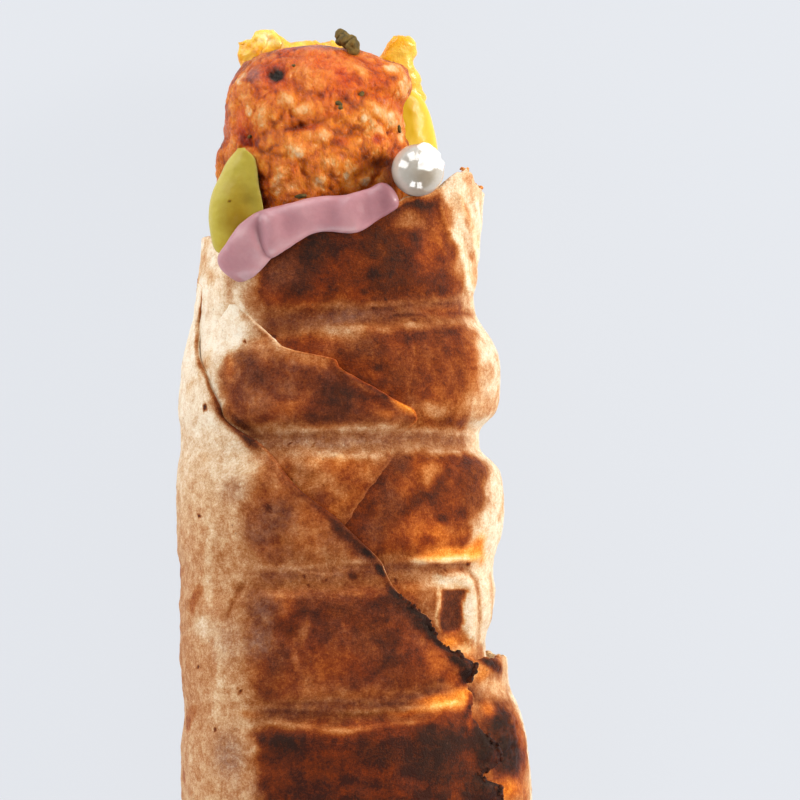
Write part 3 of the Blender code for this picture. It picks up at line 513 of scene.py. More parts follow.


# ---------------------------------------------------------------- toasting, with painted light and shade

# Stains and painted light: x, y, half sizes, turn in degrees, (toast, glow, ash), strength.
# Glow is partly a more orange toast and partly painted light shining through thin bread;
# ash is partly an ashy bloom and partly painted shade.
BASE_STAINS = [
    (-8.3, 63.2, 3.4, 4.4, -20, (0.95, 0, 0.25), 0.9),
    (-10.7, 57.6, 2.6, 4.0, -15, (0.92, 0, 0.3), 0.8),
    (-15.2, 58.4, 3.2, 3.4, 0, (0.66, 0, 0.7), 0.85),
    (-13.2, 62.8, 2.4, 3.4, 0, (0.72, 0, 0.55), 0.6),
    (5.3, 63.6, 4.4, 3.8, 0, (0.84, 0, 0.05), 0.75),
    (10.0, 56.2, 7.0, 2.8, 0, (0.78, 0.05, 0), 0.7),
    (-0.8, 61.0, 3.0, 4.8, 0, (0.66, 0.2, 0), 0.5),
    (15.7, 65.6, 2.2, 5.2, -14, (0.6, 0.5, 0), 0.75),
    (18.3, 69.8, 1.6, 3.6, -20, (0.62, 0.35, 0), 0.7),
    (11.5, 69.6, 3.2, 2.4, 0, (0.34, 0.1, 0.1), 0.75),
    (22.6, 69.8, 1.0, 3.6, 20, (0.5, 0.3, 0.1), 0.7),
    (25.0, 66.2, 0.9, 3.0, 12, (0.42, 0.35, 0.05), 0.6),
    (20.3, 60.6, 2.0, 5.0, 0, (0.62, 0.35, 0), 0.5),
    (23.4, 56.6, 2.0, 4.0, 0, (0.44, 0.35, 0), 0.6),
    (26.4, 74.0, 1.0, 1.4, 0, (0.5, 0.45, 0), 0.7),
    (23.6, 75.6, 2.6, 1.8, 0, (0.20, 0.15, 0), 0.7),
    (20.2, 72.8, 1.8, 2.6, 20, (0.32, 0.2, 0), 0.6),
    (15.6, 75.0, 2.6, 1.4, 20, (0.4, 0.2, 0), 0.7),
    (24.8, 60.6, 1.2, 4.6, 0, (0.34, 0.35, 0), 0.6),
    (-27.6, 56.0, 2.6, 8.0, 0, (0.30, 0.12, 0.1), 0.7),
    (-25.0, 47.0, 2.6, 5.0, 0, (0.34, 0.15, 0.1), 0.6),
    (-21.0, 53.0, 2.2, 3.2, 20, (0.54, 0.15, 0.25), 0.7),
    (-23.8, 58.2, 2.6, 3.0, 0, (0.32, 0, 0.1), 0.6),
    (-15.8, 53.4, 1.6, 0.9, 0, (0.62, 0.6, 0), 0.6),
    # This row and the next: painted shade along the middle of the first groove.
    (-3.0, 49.7, 7.0, 1.1, 3, (0.56, 0, 0.9), 0.95),
    (12.0, 50.8, 7.0, 0.7, 4, (0.5, 0.1, 0.5), 0.8),
    (17.0, 51.0, 5.0, 1.3, 0, (0.56, 0.45, 0.1), 0.85),
    (1.6, 44.0, 3.8, 2.6, -20, (0.66, 0, 0.35), 0.8),
    (-2.0, 46.2, 4.0, 1.8, 0, (0.22, 0, 0.1), 0.6),
    (9.6, 38.4, 3.8, 3.6, 0, (0.68, 0.05, 0.2), 0.7),
    (12.5, 42.0, 5.0, 2.6, 0, (0.54, 0.2, 0.1), 0.5),
    (18.0, 36.2, 3.4, 3.4, 0, (0.56, 0.35, 0), 0.6),
    (21.4, 42.4, 2.8, 3.2, 0, (0.68, 0.3, 0), 0.7),
    (23.8, 40.0, 1.4, 6.4, 0, (0.66, 0.45, 0), 0.8),
    (22.8, 46.2, 1.8, 1.3, 0, (0.62, 0.3, 0), 0.6),
    (26.8, 37.0, 1.4, 4.0, 0, (0.26, 0.1, 0.2), 0.7),
    (15.5, 31.0, 4.6, 2.2, 0, (0.3, 0.1, 0.15), 0.7),
    (22.8, 32.0, 2.6, 3.0, 0, (0.26, 0.1, 0), 0.6),
    (11.0, 33.0, 2.0, 2.0, 0, (0.52, 0.1, 0.3), 0.5),
    (9.1, 20.2, 2.2, 2.4, 0, (0.76, 0, 0.5), 0.85),
    (7.0, 13.2, 3.2, 4.2, 0, (0.64, 0.1, 0.55), 0.75),
    (4.0, 6.8, 3.0, 3.2, 0, (0.62, 0, 0.45), 0.7),
    (10.4, 15.6, 2.2, 2.2, 0, (0.62, 0.55, 0.1), 0.75),
    (15.2, 18.2, 3.0, 2.2, 0, (0.3, 0.3, 0), 0.7),
    (24.6, 18.7, 2.8, 2.2, 0, (0.74, 0.1, 0), 0.85),
    (24.0, 13.2, 2.8, 3.0, 0, (0.7, 0.1, 0.1), 0.85),
    (19.4, 12.3, 2.4, 3.0, 0, (0.46, 0.35, 0), 0.5),
    (14.0, 9.8, 3.0, 2.2, 0, (0.52, 0.5, 0), 0.5),
    (15.7, 6.0, 5.0, 2.8, 0, (0.46, 0.9, 0), 0.8),
    (11.0, 6.8, 2.4, 2.4, 0, (0.5, 0.7, 0.1), 0.6),
    (19.8, 7.6, 2.4, 1.8, 0, (0.56, 0.3, 0.1), 0.6),
    (23.8, 8.2, 2.2, 1.6, 0, (0.34, 0.1, 0.1), 0.7),
    (14.6, 4.6, 1.7, 0.9, -10, (0.78, 0.6, 0), 0.95),
    (19.2, 2.9, 1.2, 0.9, 0, (0.76, 0.6, 0), 0.95),
    (18.0, 1.0, 7.2, 1.0, 2, (0.34, 1, 0), 0.9),
    (24.4, 1.5, 1.8, 1.4, 0, (0.38, 1, 0), 0.95),
    (12.0, -2.4, 7.0, 1.0, 0, (0.34, 0.15, 0.15), 0.5),
    (14.4, -8.2, 2.0, 5.0, 0, (0.52, 0.1, 0.15), 0.9),
    (21.5, -3.6, 7.0, 2.2, 0, (0.12, 0.1, 0), 0.95),
    (25.4, -9.0, 3.4, 9.0, 0, (0.10, 0.1, 0), 1.0),
    (19.4, -15.8, 2.0, 1.3, 0, (0.36, 1, 0), 0.95),
    (22.0, -17.6, 2.2, 1.4, 0, (0.16, 0.5, 0), 0.9),
    (18.6, 2.2, 4.8, 1.3, 4, (0.30, 1, 0), 0.95),
    (23.0, 2.4, 2.2, 1.5, 4, (0.32, 1, 0), 0.9),
    (24.8, 3.4, 1.2, 2.6, -30, (0.44, 1, 0), 0.9),
    (17.2, 8.8, 1.2, 1.0, 0, (0.92, 0.3, 0), 0.8),
    (22.4, 71.4, 0.7, 3.4, 24, (0.46, 0.4, 0), 0.7),
    (19.2, 66.6, 0.6, 3.6, 20, (0.66, 0.4, 0), 0.6),
]
A_STAINS = [
    (-25.6, 33.0, 1.0, 4.0, 28, (0.6, 0.3, 0.2), 0.6),
    # Painted shadow in the gap under the outer layer's edge.
    (-22.6, 28.0, 3.6, 0.9, -40, (0.86, 0, 0.3), 0.9),
    (6.6, 19.6, 1.4, 4.0, -30, (0.70, 0.1, 0.4), 0.6),
    (-22.2, 41.6, 2.8, 2.0, 0, (0.68, 0, 0.55), 0.85),
    (-25.2, 39.8, 1.2, 3.2, 0, (0.48, 0.55, 0), 0.7),
    (-20.2, 37.6, 3.4, 3.0, 0, (0.74, 0, 0.6), 0.85),
    (-15.8, 40.4, 2.0, 2.4, 0, (0.68, 0.1, 0.4), 0.6),
    (-14.2, 35.4, 2.6, 2.4, 0, (0.46, 0.1, 0.5), 0.7),
    (-14.0, 31.2, 3.6, 2.2, 0, (0.5, 0.6, 0.1), 0.75),
    (-19.6, 33.0, 2.8, 2.4, 0, (0.44, 0.3, 0.45), 0.7),
    (-22.5, 34.8, 1.8, 2.5, 0, (0.55, 0.1, 0.5), 0.5),
    (-9.7, 37.3, 2.6, 3.0, 0, (0.68, 0.1, 0.2), 0.5),
    (-6.0, 40.4, 2.6, 1.4, 0, (0.52, 0.4, 0), 0.6),
    (-10.5, 41.9, 4.0, 0.8, -8, (0.42, 0.3, 0.1), 0.6),
    (-3.3, 33.6, 4.4, 3.0, -10, (0.88, 0, 0.4), 0.9),
    (-6.4, 29.8, 4.0, 1.7, 0, (0.86, 0, 0.35), 0.75),
    (0.8, 29.4, 3.0, 1.2, -5, (0.8, 0.1, 0.2), 0.7),
    (-10.5, 33.0, 1.8, 2.0, 0, (0.58, 0.3, 0.2), 0.5),
    (2.6, 32.0, 2.2, 2.0, 0, (0.66, 0.4, 0.1), 0.5),
    (10.3, 32.0, 4.4, 1.8, -32, (0.42, 1, 0), 1.0),
    (13.4, 30.4, 2.0, 1.2, -30, (0.32, 1, 0), 0.9),
    (7.9, 35.1, 1.0, 0.6, -30, (0.66, 0.9, 0), 0.8),
    (6.0, 30.2, 2.4, 1.2, 0, (0.5, 0.7, 0), 0.6),
    (6.0, 33.7, 0.9, 1.1, 0, (0.9, 0, 0.7), 0.95),
    # Painted shade along the middle of the second groove.
    (-5.0, 24.6, 12.0, 0.8, 1, (0.38, 0, 0.7), 0.75),
    (-20.5, 48.2, 3.0, 1.8, 0, (0.32, 0.05, 0.1), 0.5),
    (-22.5, 51.0, 1.6, 1.5, 0, (0.48, 0.1, 0.2), 0.6),
    (-3.0, 14.8, 2.6, 2.6, 0, (0.48, 0.1, 0.2), 0.7),
    (-0.3, 13.4, 2.0, 2.0, 0, (0.54, 0.35, 0), 0.7),
    (-6.0, 17.5, 2.5, 1.5, 0, (0.32, 0, 0.1), 0.5),
    (-2.0, 10.0, 1.6, 2.0, 0, (0.54, 0.1, 0.2), 0.6),
    (3.4, 17.5, 2.0, 2.0, 0, (0.42, 0.15, 0.2), 0.6),
]
B_STAINS = [
    (-28.2, 35.2, 1.0, 2.6, -20, (0.44, 0.5, 0), 0.8),
    # This row and the next: painted shadow in the gap between this layer's edge and the one below.
    (-25.4, 29.4, 4.6, 1.3, -42, (0.84, 0, 0.45), 0.95),
    (-21.6, 25.8, 3.0, 1.3, -42, (0.88, 0, 0.4), 0.95),
    (-24.3, 15.2, 3.0, 3.0, 0, (0.38, 0, 0.65), 0.6),
    (-15.8, 10.0, 3.6, 3.2, 0, (0.62, 0, 0.7), 0.85),
    (-19.8, 6.2, 3.0, 2.6, 0, (0.58, 0, 0.75), 0.75),
    (-7.8, 8.6, 3.2, 3.0, 0, (0.58, 0.35, 0.1), 0.65),
    (-11.5, 14.6, 2.4, 2.6, 0, (0.52, 0.15, 0.3), 0.5),
    (-16.0, 1.6, 3.8, 1.6, 0, (0.64, 0.2, 0.4), 0.75),
    (-10.0, 3.2, 3.0, 2.4, 0, (0.58, 0.3, 0.2), 0.65),
    (-3.4, 4.4, 2.6, 3.0, 0, (0.6, 0.2, 0.3), 0.6),
    (-20.5, 12.0, 1.6, 4.0, 0, (0.42, 0.3, 0.2), 0.4),
    # This row and the next two: painted shadow along this layer's free edge.
    (-8.6, 13.2, 3.6, 0.9, -48, (0.78, 0, 0.5), 0.75),
    (-2.6, 7.2, 3.4, 1.3, -42, (0.82, 0, 0.6), 0.9),
    (1.8, 2.6, 3.6, 1.5, -42, (0.82, 0, 0.5), 0.95),
    (-8.0, -1.4, 13.0, 0.4, 1, (0.42, 0.15, 0.25), 0.6),
    (-23.7, -5.8, 0.5, 3.0, 20, (0.5, 0.2, 0.2), 0.7),
    (-18.7, -8.8, 3.4, 3.2, 0, (0.52, 0, 0.85), 0.85),
    (-17.6, -13.0, 1.5, 4.5, -10, (0.78, 0, 0.6), 0.75),
    (-15.2, -18.8, 2.3, 4.4, -12, (0.78, 0.05, 0.45), 0.8),
    (-21.0, -19.4, 1.6, 2.4, 0, (0.64, 0.25, 0.2), 0.65),
    (-17.6, -25.2, 2.8, 2.2, 0, (0.76, 0.15, 0.1), 0.8),
    (-26.0, -15.5, 3.2, 4.8, 0, (0.34, 0.1, 0.5), 0.75),
    (-10.9, -14.8, 1.4, 4.2, -12, (0.44, 0.15, 0.4), 0.65),
    (-12.2, -20.0, 1.2, 3.4, 0, (0.46, 0.2, 0.3), 0.4),
    (-2.0, -8.8, 4.2, 2.2, 0, (0.7, 0, 0.2), 0.65),
    (2.6, -15.0, 3.6, 3.6, 0, (0.74, 0, 0.25), 0.65),
    (7.5, -21.0, 2.4, 2.6, 0, (0.76, 0.1, 0.25), 0.6),
    (-4.8, -19.0, 4.0, 3.5, 0, (0.58, 0.35, 0.1), 0.55),
    (-8.7, -25.6, 3.6, 1.6, 0, (0.52, 0.4, 0.2), 0.65),
    (4.0, -25.8, 6.0, 1.2, 0, (0.54, 0.3, 0.15), 0.55),
    (9.6, -8.0, 2.0, 3.0, 30, (0.86, 0, 0.5), 0.85),
    (12.6, -11.4, 1.3, 2.6, 38, (0.92, 0, 0.6), 0.9),
    (15.4, -13.8, 1.1, 3.6, 40, (0.95, 0, 0.5), 0.95),
    (16.6, -19.8, 2.8, 3.2, 0, (0.54, 0.75, 0), 0.8),
    (10.9, -23.0, 2.4, 2.4, 0, (0.76, 0.3, 0.1), 0.6),
    (19.8, -23.2, 1.8, 1.6, 0, (0.68, 0.7, 0), 0.75),
    (21.0, -19.6, 2.2, 1.2, -48, (1.0, 0, 0.2), 1.0),
    (22.6, -22.4, 1.7, 1.9, 0, (1.02, 0, 0.1), 1.0),
    (17.6, -23.6, 1.0, 0.7, 0, (0.9, 0.1, 0.2), 0.8),
    (-28.8, -7.8, 2.4, 2.2, 0, (0.36, 0.25, 0.3), 0.7),
    (-30.8, -13.0, 2.6, 2.6, 0, (0.1, 0, 0), 0.7),
    (-21.3, -30.2, 2.4, 0.8, 0, (0.52, 0.35, 0), 0.75),
    (-2.0, -28.0, 5.8, 0.8, 2, (0.66, 0.1, 0.4), 0.85),
    (-6.8, -31.2, 2.4, 0.8, 0, (0.74, 0.4, 0.05), 0.85),
    (-0.9, -28.9, 1.8, 0.8, 0, (0.74, 0.1, 0.2), 0.65),
    (10.9, -29.8, 4.0, 0.7, 5, (0.58, 0.8, 0), 0.75),
    (18.6, -28.4, 5.6, 1.7, 3, (0.3, 1, 0), 1.0),
    (22.6, -26.8, 2.5, 1.6, 0, (0.28, 1, 0), 0.9),
    (-3.8, -33.6, 5.0, 1.2, 3, (0.46, 0.25, 0.1), 0.65),
    (-14.0, -32.6, 4.0, 1.2, 0, (0.5, 0.3, 0.05), 0.5),
    (-14.1, -36.2, 2.6, 2.0, 0, (0.98, 0, 0.1), 0.85),
    (4.5, -38.2, 4.5, 2.6, 0, (0.94, 0, 0.1), 0.65),
    (17.0, -35.4, 5.0, 2.6, 0, (0.96, 0, 0.25), 0.75),
    (15.8, -41.0, 5.0, 4.0, 0, (0.96, 0, 0.2), 0.65),
    (-6.3, -40.5, 4.5, 3.5, 0, (0.84, 0.3, 0), 0.65),
    (-16.0, -43.0, 2.6, 4.5, 0, (0.76, 0.35, 0), 0.65),
    (-19.8, -46.0, 1.2, 5.0, 0, (0.66, 0, 0.6), 0.5),
    (-25.9, -38.8, 3.2, 4.6, 0, (0.42, 0, 0.85), 0.8),
    (-24.2, -46.0, 2.8, 4.0, 0, (0.38, 0.15, 0.5), 0.5),
    (26.5, -37.3, 2.0, 3.8, 5, (1.0, 0, 0.1), 1.0),
    (26.2, -45.2, 2.6, 1.8, 0, (0.94, 0, 0.4), 0.9),
    (23.6, -31.6, 0.8, 2.2, 0, (0.5, 0.9, 0), 0.75),
    (-19.6, -15.4, 3.2, 3.6, 0, (0.50, 0, 1.0), 0.8),
    (21.4, -26.0, 3.2, 1.6, 8, (0.30, 1, 0), 1.0),
    (16.4, -27.2, 3.6, 1.0, 8, (0.46, 1, 0), 0.9),
]
R_STAINS = [
    (24.2, -19.2, 2.2, 1.0, 0, (0.62, 0.5, 0), 0.85),
    (27.2, -20.0, 2.0, 1.3, -35, (0.97, 0, 0.25), 1.0),
    (29.2, -21.6, 1.3, 1.0, -35, (0.95, 0, 0.2), 0.95),
    (25.6, -22.6, 1.6, 1.8, 0, (0.42, 0.8, 0), 0.8),
    (28.0, -24.8, 3.4, 1.4, 0, (0.22, 0.35, 0.1), 0.9),
    (31.0, -21.6, 1.3, 3.0, 0, (0.14, 0.3, 0), 0.85),
    (29.4, -26.6, 3.4, 1.6, 0, (0.24, 0.3, 0.1), 0.85),
    (28.8, -32.0, 3.6, 3.6, 0, (0.95, 0, 0.25), 1.0),
    (30.8, -38.6, 3.2, 5.4, 8, (0.98, 0, 0.35), 1.0),
    (34.2, -35.0, 1.0, 5.6, 0, (0.55, 0.7, 0), 0.6),
    (30.8, -46.4, 3.4, 2.4, 0, (0.46, 1, 0), 0.95),
    (34.8, -46.5, 1.2, 4.0, 0, (0.62, 0.6, 0), 0.6),
    (26.6, -29.4, 1.2, 1.6, 0, (0.46, 1, 0), 0.8),
]
# Small burnt specks: x, y, half sizes.
SPECKS = [(1.8, 54.9, 0.95, 0.65), (6.3, 53.3, 0.5, 0.4), (-4.0, 55.3, 0.4, 0.35),
          (3.8, 51.5, 0.45, 0.3), (4.6, 39.6, 0.8, 0.8), (-16.4, 45.7, 0.7, 0.45),
          (-6.4, 34.9, 0.6, 0.6), (-17.7, 11.5, 0.6, 0.8), (-31.6, 9.7, 0.4, 0.4),
          (-30.7, 31.6, 0.4, 0.75), (-0.5, -2.4, 1.0, 0.75), (-10.4, -2.5, 0.4, 0.4),
          (-9.5, -4.3, 0.3, 0.3), (-6.0, -3.1, 0.3, 0.3), (8.0, -3.5, 0.4, 0.35),
          (18.0, -1.7, 0.5, 0.35), (22.7, -0.3, 0.4, 0.4), (-31.9, -20.9, 0.3, 0.35),
          (-28.4, -33.6, 0.3, 0.4), (-23.4, -25.3, 0.3, 0.9), (18.2, 36.6, 0.35, 0.3),
          (-8.2, 24.2, 0.35, 0.3), (-13.2, 24.4, 0.3, 0.3), (12.2, 49.0, 0.35, 0.3),
          (-22.5, 45.0, 0.3, 0.3), (-27.2, 21.0, 0.3, 0.3), (9.0, 24.6, 0.35, 0.3)]
# Where the toasted part of the upper side starts on the left and stops on the right, as (y, x).
TOAST_LEFT = [(-110, -19), (-70, -20), (-50, -20), (-36, -20.0), (-30, -20.4), (-20, -21.2),
              (-12, -22.0), (-5, -20.5), (0, -20.5), (6, -21), (14, -21.5), (20, -19.5),
              (30, -25.0), (42, -25.5), (48, -20), (55, -21.0), (64, -18.5), (76, -15)]
TOAST_RIGHT = [(-110, 26), (-50, 33), (-20, 33), (-15, 22.5), (-6, 22.6), (0, 23.5), (8, 24.0),
               (13, 25.0), (20, 25.2), (24, 23.6), (30, 22.4), (38, 23.0), (46, 22.6), (54, 21.2),
               (60, 20.2), (66, 19.2), (72, 17.2), (78, 15.8)]
SPECK_TONE = (0.93, 0.1, 0.1)


def blend_spots(paint, x, y, stains, facing):
    """Lays soft-edged stains and painted light and shade one after another over the values of the upper side."""
    shown = ease(facing / 0.25)
    for row in stains:
        share = row[6] * shown * np.exp(-oval(x, y, row) ** 1.4)
        near = share > 0.004
        paint[near] += share[near, None] * (np.array(row[5]) - paint[near])
    return paint


# The pocket's left and right edges, as (y, x).
POCKET_LEFT = [(-16, 18.6), (-14.2, 18.2), (-13, 17.2), (-9, 17.1), (-5, 17.5)]
POCKET_RIGHT = [(-16, 19.6), (-14.4, 20.4), (-13.2, 21.5), (-10.5, 22.1), (-8.4, 21.9), (-6.4, 22.9),
                (-4.8, 23.3)]


def brown_pocket(paint, points):
    """The toasted floor of the pocket on the right, with its sharp edges, painted glow along its right and lower
    edges and a painted highlight on its left lip.
    """
    x = points[:, 0] + 0.55 * cloudy(points, 2.6, 3, 55)
    y = points[:, 1] + 0.55 * cloudy(points, 2.6, 3, 57)
    from_left = x - through(POCKET_LEFT, y)
    from_right = through(POCKET_RIGHT, y) - x
    up = ease(points[:, 2] - 30)
    inside = ease(from_left / 0.45) * ease(from_right / 0.5) * ease((-5.0 - y) / 0.6)
    inside *= ease((y + 15.0) / 0.8) * up
    # Paler and more orange along the right edge and the bottom: painted light glowing through the thin bread.
    glow = np.exp(-(from_right / 0.7) ** 2) + np.exp(-((y + 14.4) / 0.8) ** 2)
    tone = np.stack([0.80 + 0.10 * cloudy(points, 2.5, 3, 59) - 0.25 * np.clip(glow, 0, 1),
                     0.1 + 0.8 * np.clip(glow, 0, 1), 0.25 + 0 * x], 1)
    paint += inside[:, None] * (tone - paint)
    # A pale line on the left lip: painted highlight.
    rim = np.exp(-((from_left + 0.35) / 0.3) ** 2) * ease((-4.6 - y) / 0.8) * ease((y + 14) / 2)
    paint += (0.8 * rim * up)[:, None] * (np.array((0.15, 0.3, 0)) - paint)


GROOVE_TOAST = [(-110, 0.55), (-56, 0.68), (-28, 0.69), (-2, 0.58), (25, 0.49), (50, 0.66)]


SIDE_TOAST = [(-110, 0.29), (-28, 0.33), (-8, 0.36), (6, 0.30), (18, 0.20), (34, 0.08), (80, 0.05)]


def side_paint(points):
    """Toast, glow and ash of the bread's flanks, which the press didn't touch."""
    y = points[:, 1]
    leftness = ease((4 - points[:, 0]) / 8)
    toast = 0.12 + leftness * (through(SIDE_TOAST, y) - 0.12)
    spots = ease((cloudy(points, 7, 3, 33) - 0.22) / 0.35) * ease((44 - points[:, 2]) / 8)
    glow = 0.03 + 0.09 * leftness * ease((30 - y) / 20) + 0.2 * spots
    return np.stack([toast + 0.22 * spots, glow, 0.03 + 0.1 * spots], 1)


def toasted(points, facing, tone, stains, ridges):
    """Toast, glow and ash of bread at each point, with painted light and shade among them.

    facing is 1 on the upper side, 0 on the flanks and -1 underneath; tone(y) gives the three
    values on the pressed bands of the upper side.
    """
    wander = np.stack([cloudy(points, 4.5, 3, s) for s in (21, 23)], 1)
    x = points[:, 0] + 1.1 * wander[:, 0]
    y = points[:, 1] + 1.0 * wander[:, 1]
    band = np.ones(len(points))
    shade = np.zeros(len(points))
    for middle, slope, *_ in GROOVES:
        away = (y - middle - slope * x) / 3.5
        band *= 1 - np.exp(-np.abs(away) ** 3.2)
        shade += np.exp(-((away - 0.1) / 0.42) ** 2)
    left = through(TOAST_LEFT, y) + 1.6 * cloudy(points, 9, 2, 27)
    right = through(TOAST_RIGHT, y) + 0.9 * cloudy(points, 5, 2, 28)
    upper = ease((x - left + 4.2) / 8.4) * ease((right + 2.4 - x) / 4.8) * ease(facing / 0.3)
    lower = ease((x + 24) / 8) * ease((23 - x) / 8) * ease(-facing / 0.4)
    pressed = band * np.maximum(upper, 0.8 * lower)
    pressed = ease(pressed + 2.4 * pressed * (1 - pressed) * cloudy(points, 5, 4, 29))
    tones = tone(y)
    paint = side_paint(points)
    groove = np.maximum(upper, lower)[:, None]
    # Along the grooves' middle the ash value, and a little the toast, rise with shade: painted shade in the
    # grooves.
    trough = np.stack([through(GROOVE_TOAST, y) + 0.10 * (shade - 0.5), 0.05 + 0 * y,
                       0.12 + 0.35 * shade], 1)
    paint += groove * (trough - paint)
    paint += pressed[:, None] * (tones - paint)
    rough = cloudy(points, 8, 4, 31)
    fine = cloudy(points, 2.2, 3, 37)
    paint[:, 0] += (0.17 * rough + 0.19 * fine) * (0.3 + 0.7 * pressed)
    paint[:, 1] += 0.36 * cloudy(points, 5, 3, 41) * pressed
    paint[:, 2] += 0.40 * cloudy(points, 4, 3, 43) * pressed
    blend_spots(paint, x, y, stains, facing)
    if stains is BASE_STAINS:
        brown_pocket(paint, points)
    paint[:, 1:] = np.clip(paint[:, 1:], 0, 1)
    # Raised ridges paler and creases darker: partly less toast on the raised lines, partly a painted highlight on
    # the ridges and painted shade in the creases.
    high = ridge_field(points, ridges, 0.8) * ease(facing / 0.3)
    paint[:, 0] -= 0.42 * np.clip(high, -0.4, 1)
    # Painted shade in the creases beside the pocket and at the mouth's right corner.
    if ridges is BASE_RIDGES:
        crease = ridge_field(points, POCKET_CREASES, wander_mm=0.25) * ease(facing / 0.2)
        paint += crease[:, None] * (np.array(CREASE_TONE) - paint)
    return add_specks(paint, points, facing)


def add_specks(paint, points, facing):
    x = points[:, 0] + 0.25 * patchy(points, 0.8, 51)
    y = points[:, 1] + 0.25 * patchy(points, 0.8, 53)
    for cx, cy, rx, ry in SPECKS:
        share = 0.95 * np.exp(-oval(x, y, (cx, cy, rx, ry, 0)) ** 2) * ease(facing / 0.3)
        paint += share[:, None] * (np.array(SPECK_TONE) - paint)
    return paint


def shade_of(angle):
    """How far a place on the roll faces up: 1 on top, 0 on the flanks, -1 underneath."""
    return np.sin(angle)


# ---------------------------------------------------------------- materials

def node_maker(name):
    """A new material's node tree, its main shader, and a short way to add and join nodes."""
    made = bpy.data.materials.new(name)
    made.use_nodes = True
    tree = made.node_tree
    shader = tree.nodes["Principled BSDF"]

    def add(kind, inputs=(), **settings):
        node = tree.nodes.new(kind)
        for key, value in settings.items():
            setattr(node, key, value)
        for key, value in dict(inputs).items():
            if isinstance(value, bpy.types.NodeSocket):
                tree.links.new(value, node.inputs[key])
            else:
                node.inputs[key].default_value = value
        return node

    def join(source, target):
        tree.links.new(source, target)

    return made, shader, add, join


def ramp(add, fac, stops):
    node = add("ShaderNodeValToRGB", {"Fac": fac})
    points = node.color_ramp.elements
    while len(points) < len(stops):
        points.new(0.5)
    for point, (at, colour) in zip(points, stops):
        point.position = at
        point.color = (*colour, 1)
    return node.outputs["Color"]


def noise(add, place, size, detail=3.0, roughness=0.55, distortion=0.0):
    """Noise in patches about size mm across, from 0 to 1."""
    return add("ShaderNodeTexNoise", {"Vector": place, "Scale": 1 / (size * MM), "Detail": detail,
                                      "Roughness": roughness, "Distortion": distortion}
               ).outputs["Fac"]


def sums(add, *terms):
    """Adds sockets times amounts: each term is (socket, amount) or a plain number."""
    total = None
    for term in terms:
        socket, amount = term if isinstance(term, tuple) else (None, term)
        if socket is None:
            total = add("ShaderNodeMath", {0: total, 1: amount}, operation="ADD").outputs[0]
        elif total is None:
            total = add("ShaderNodeMath", {0: socket, 1: amount}, operation="MULTIPLY").outputs[0]
        else:
            total = add("ShaderNodeMath", {0: socket, 1: amount, 2: total},
                        operation="MULTIPLY_ADD").outputs[0]
    return total


def times(add, a, b):
    return add("ShaderNodeMath", {0: a, 1: b}, operation="MULTIPLY", use_clamp=True).outputs[0]


def mixed(add, fac, a, b):
    return add("ShaderNodeMix", {0: fac, 6: a, 7: b}, data_type="RGBA").outputs[2]


def bumped(add, join, shader, height, distance, strength=1.0):
    node = add("ShaderNodeBump", {"Height": height, "Distance": distance * MM,
                                  "Strength": strength})
    join(node.outputs["Normal"], shader.inputs["Normal"])


def set_shader(shader, **values):
    for key, value in values.items():
        shader.inputs[key.replace("_", " ").title() if key.islower() else key].default_value = value


TOAST_RAMP = [(0.0, (0.90, 0.80, 0.655)), (0.12, (0.80, 0.64, 0.465)), (0.26, (0.62, 0.40, 0.235)),
              (0.40, (0.43, 0.20, 0.085)), (0.54, (0.29, 0.092, 0.021)),
              (0.68, (0.17, 0.036, 0.0055)), (0.82, (0.080, 0.014, 0.003)),
              (1.0, (0.018, 0.007, 0.006))]
# Colours of a more orange toast, also used as painted light glowing through thin bread.
GLOW_RAMP = [(0.0, (0.95, 0.75, 0.40)), (0.2, (0.93, 0.50, 0.10)), (0.38, (0.85, 0.25, 0.02)),
             (0.55, (0.55, 0.11, 0.007)), (0.72, (0.30, 0.038, 0.004)),
             (1.0, (0.05, 0.007, 0.004))]
# Colours of an ashy bloom, also used as painted shade in the grooves and along layer edges.
ASH_RAMP = [(0.15, (0.56, 0.42, 0.31)), (0.4, (0.31, 0.165, 0.12)), (0.55, (0.20, 0.088, 0.064)),
            (0.7, (0.125, 0.046, 0.034)), (0.85, (0.050, 0.021, 0.018)),
            (1.0, (0.014, 0.009, 0.010))]


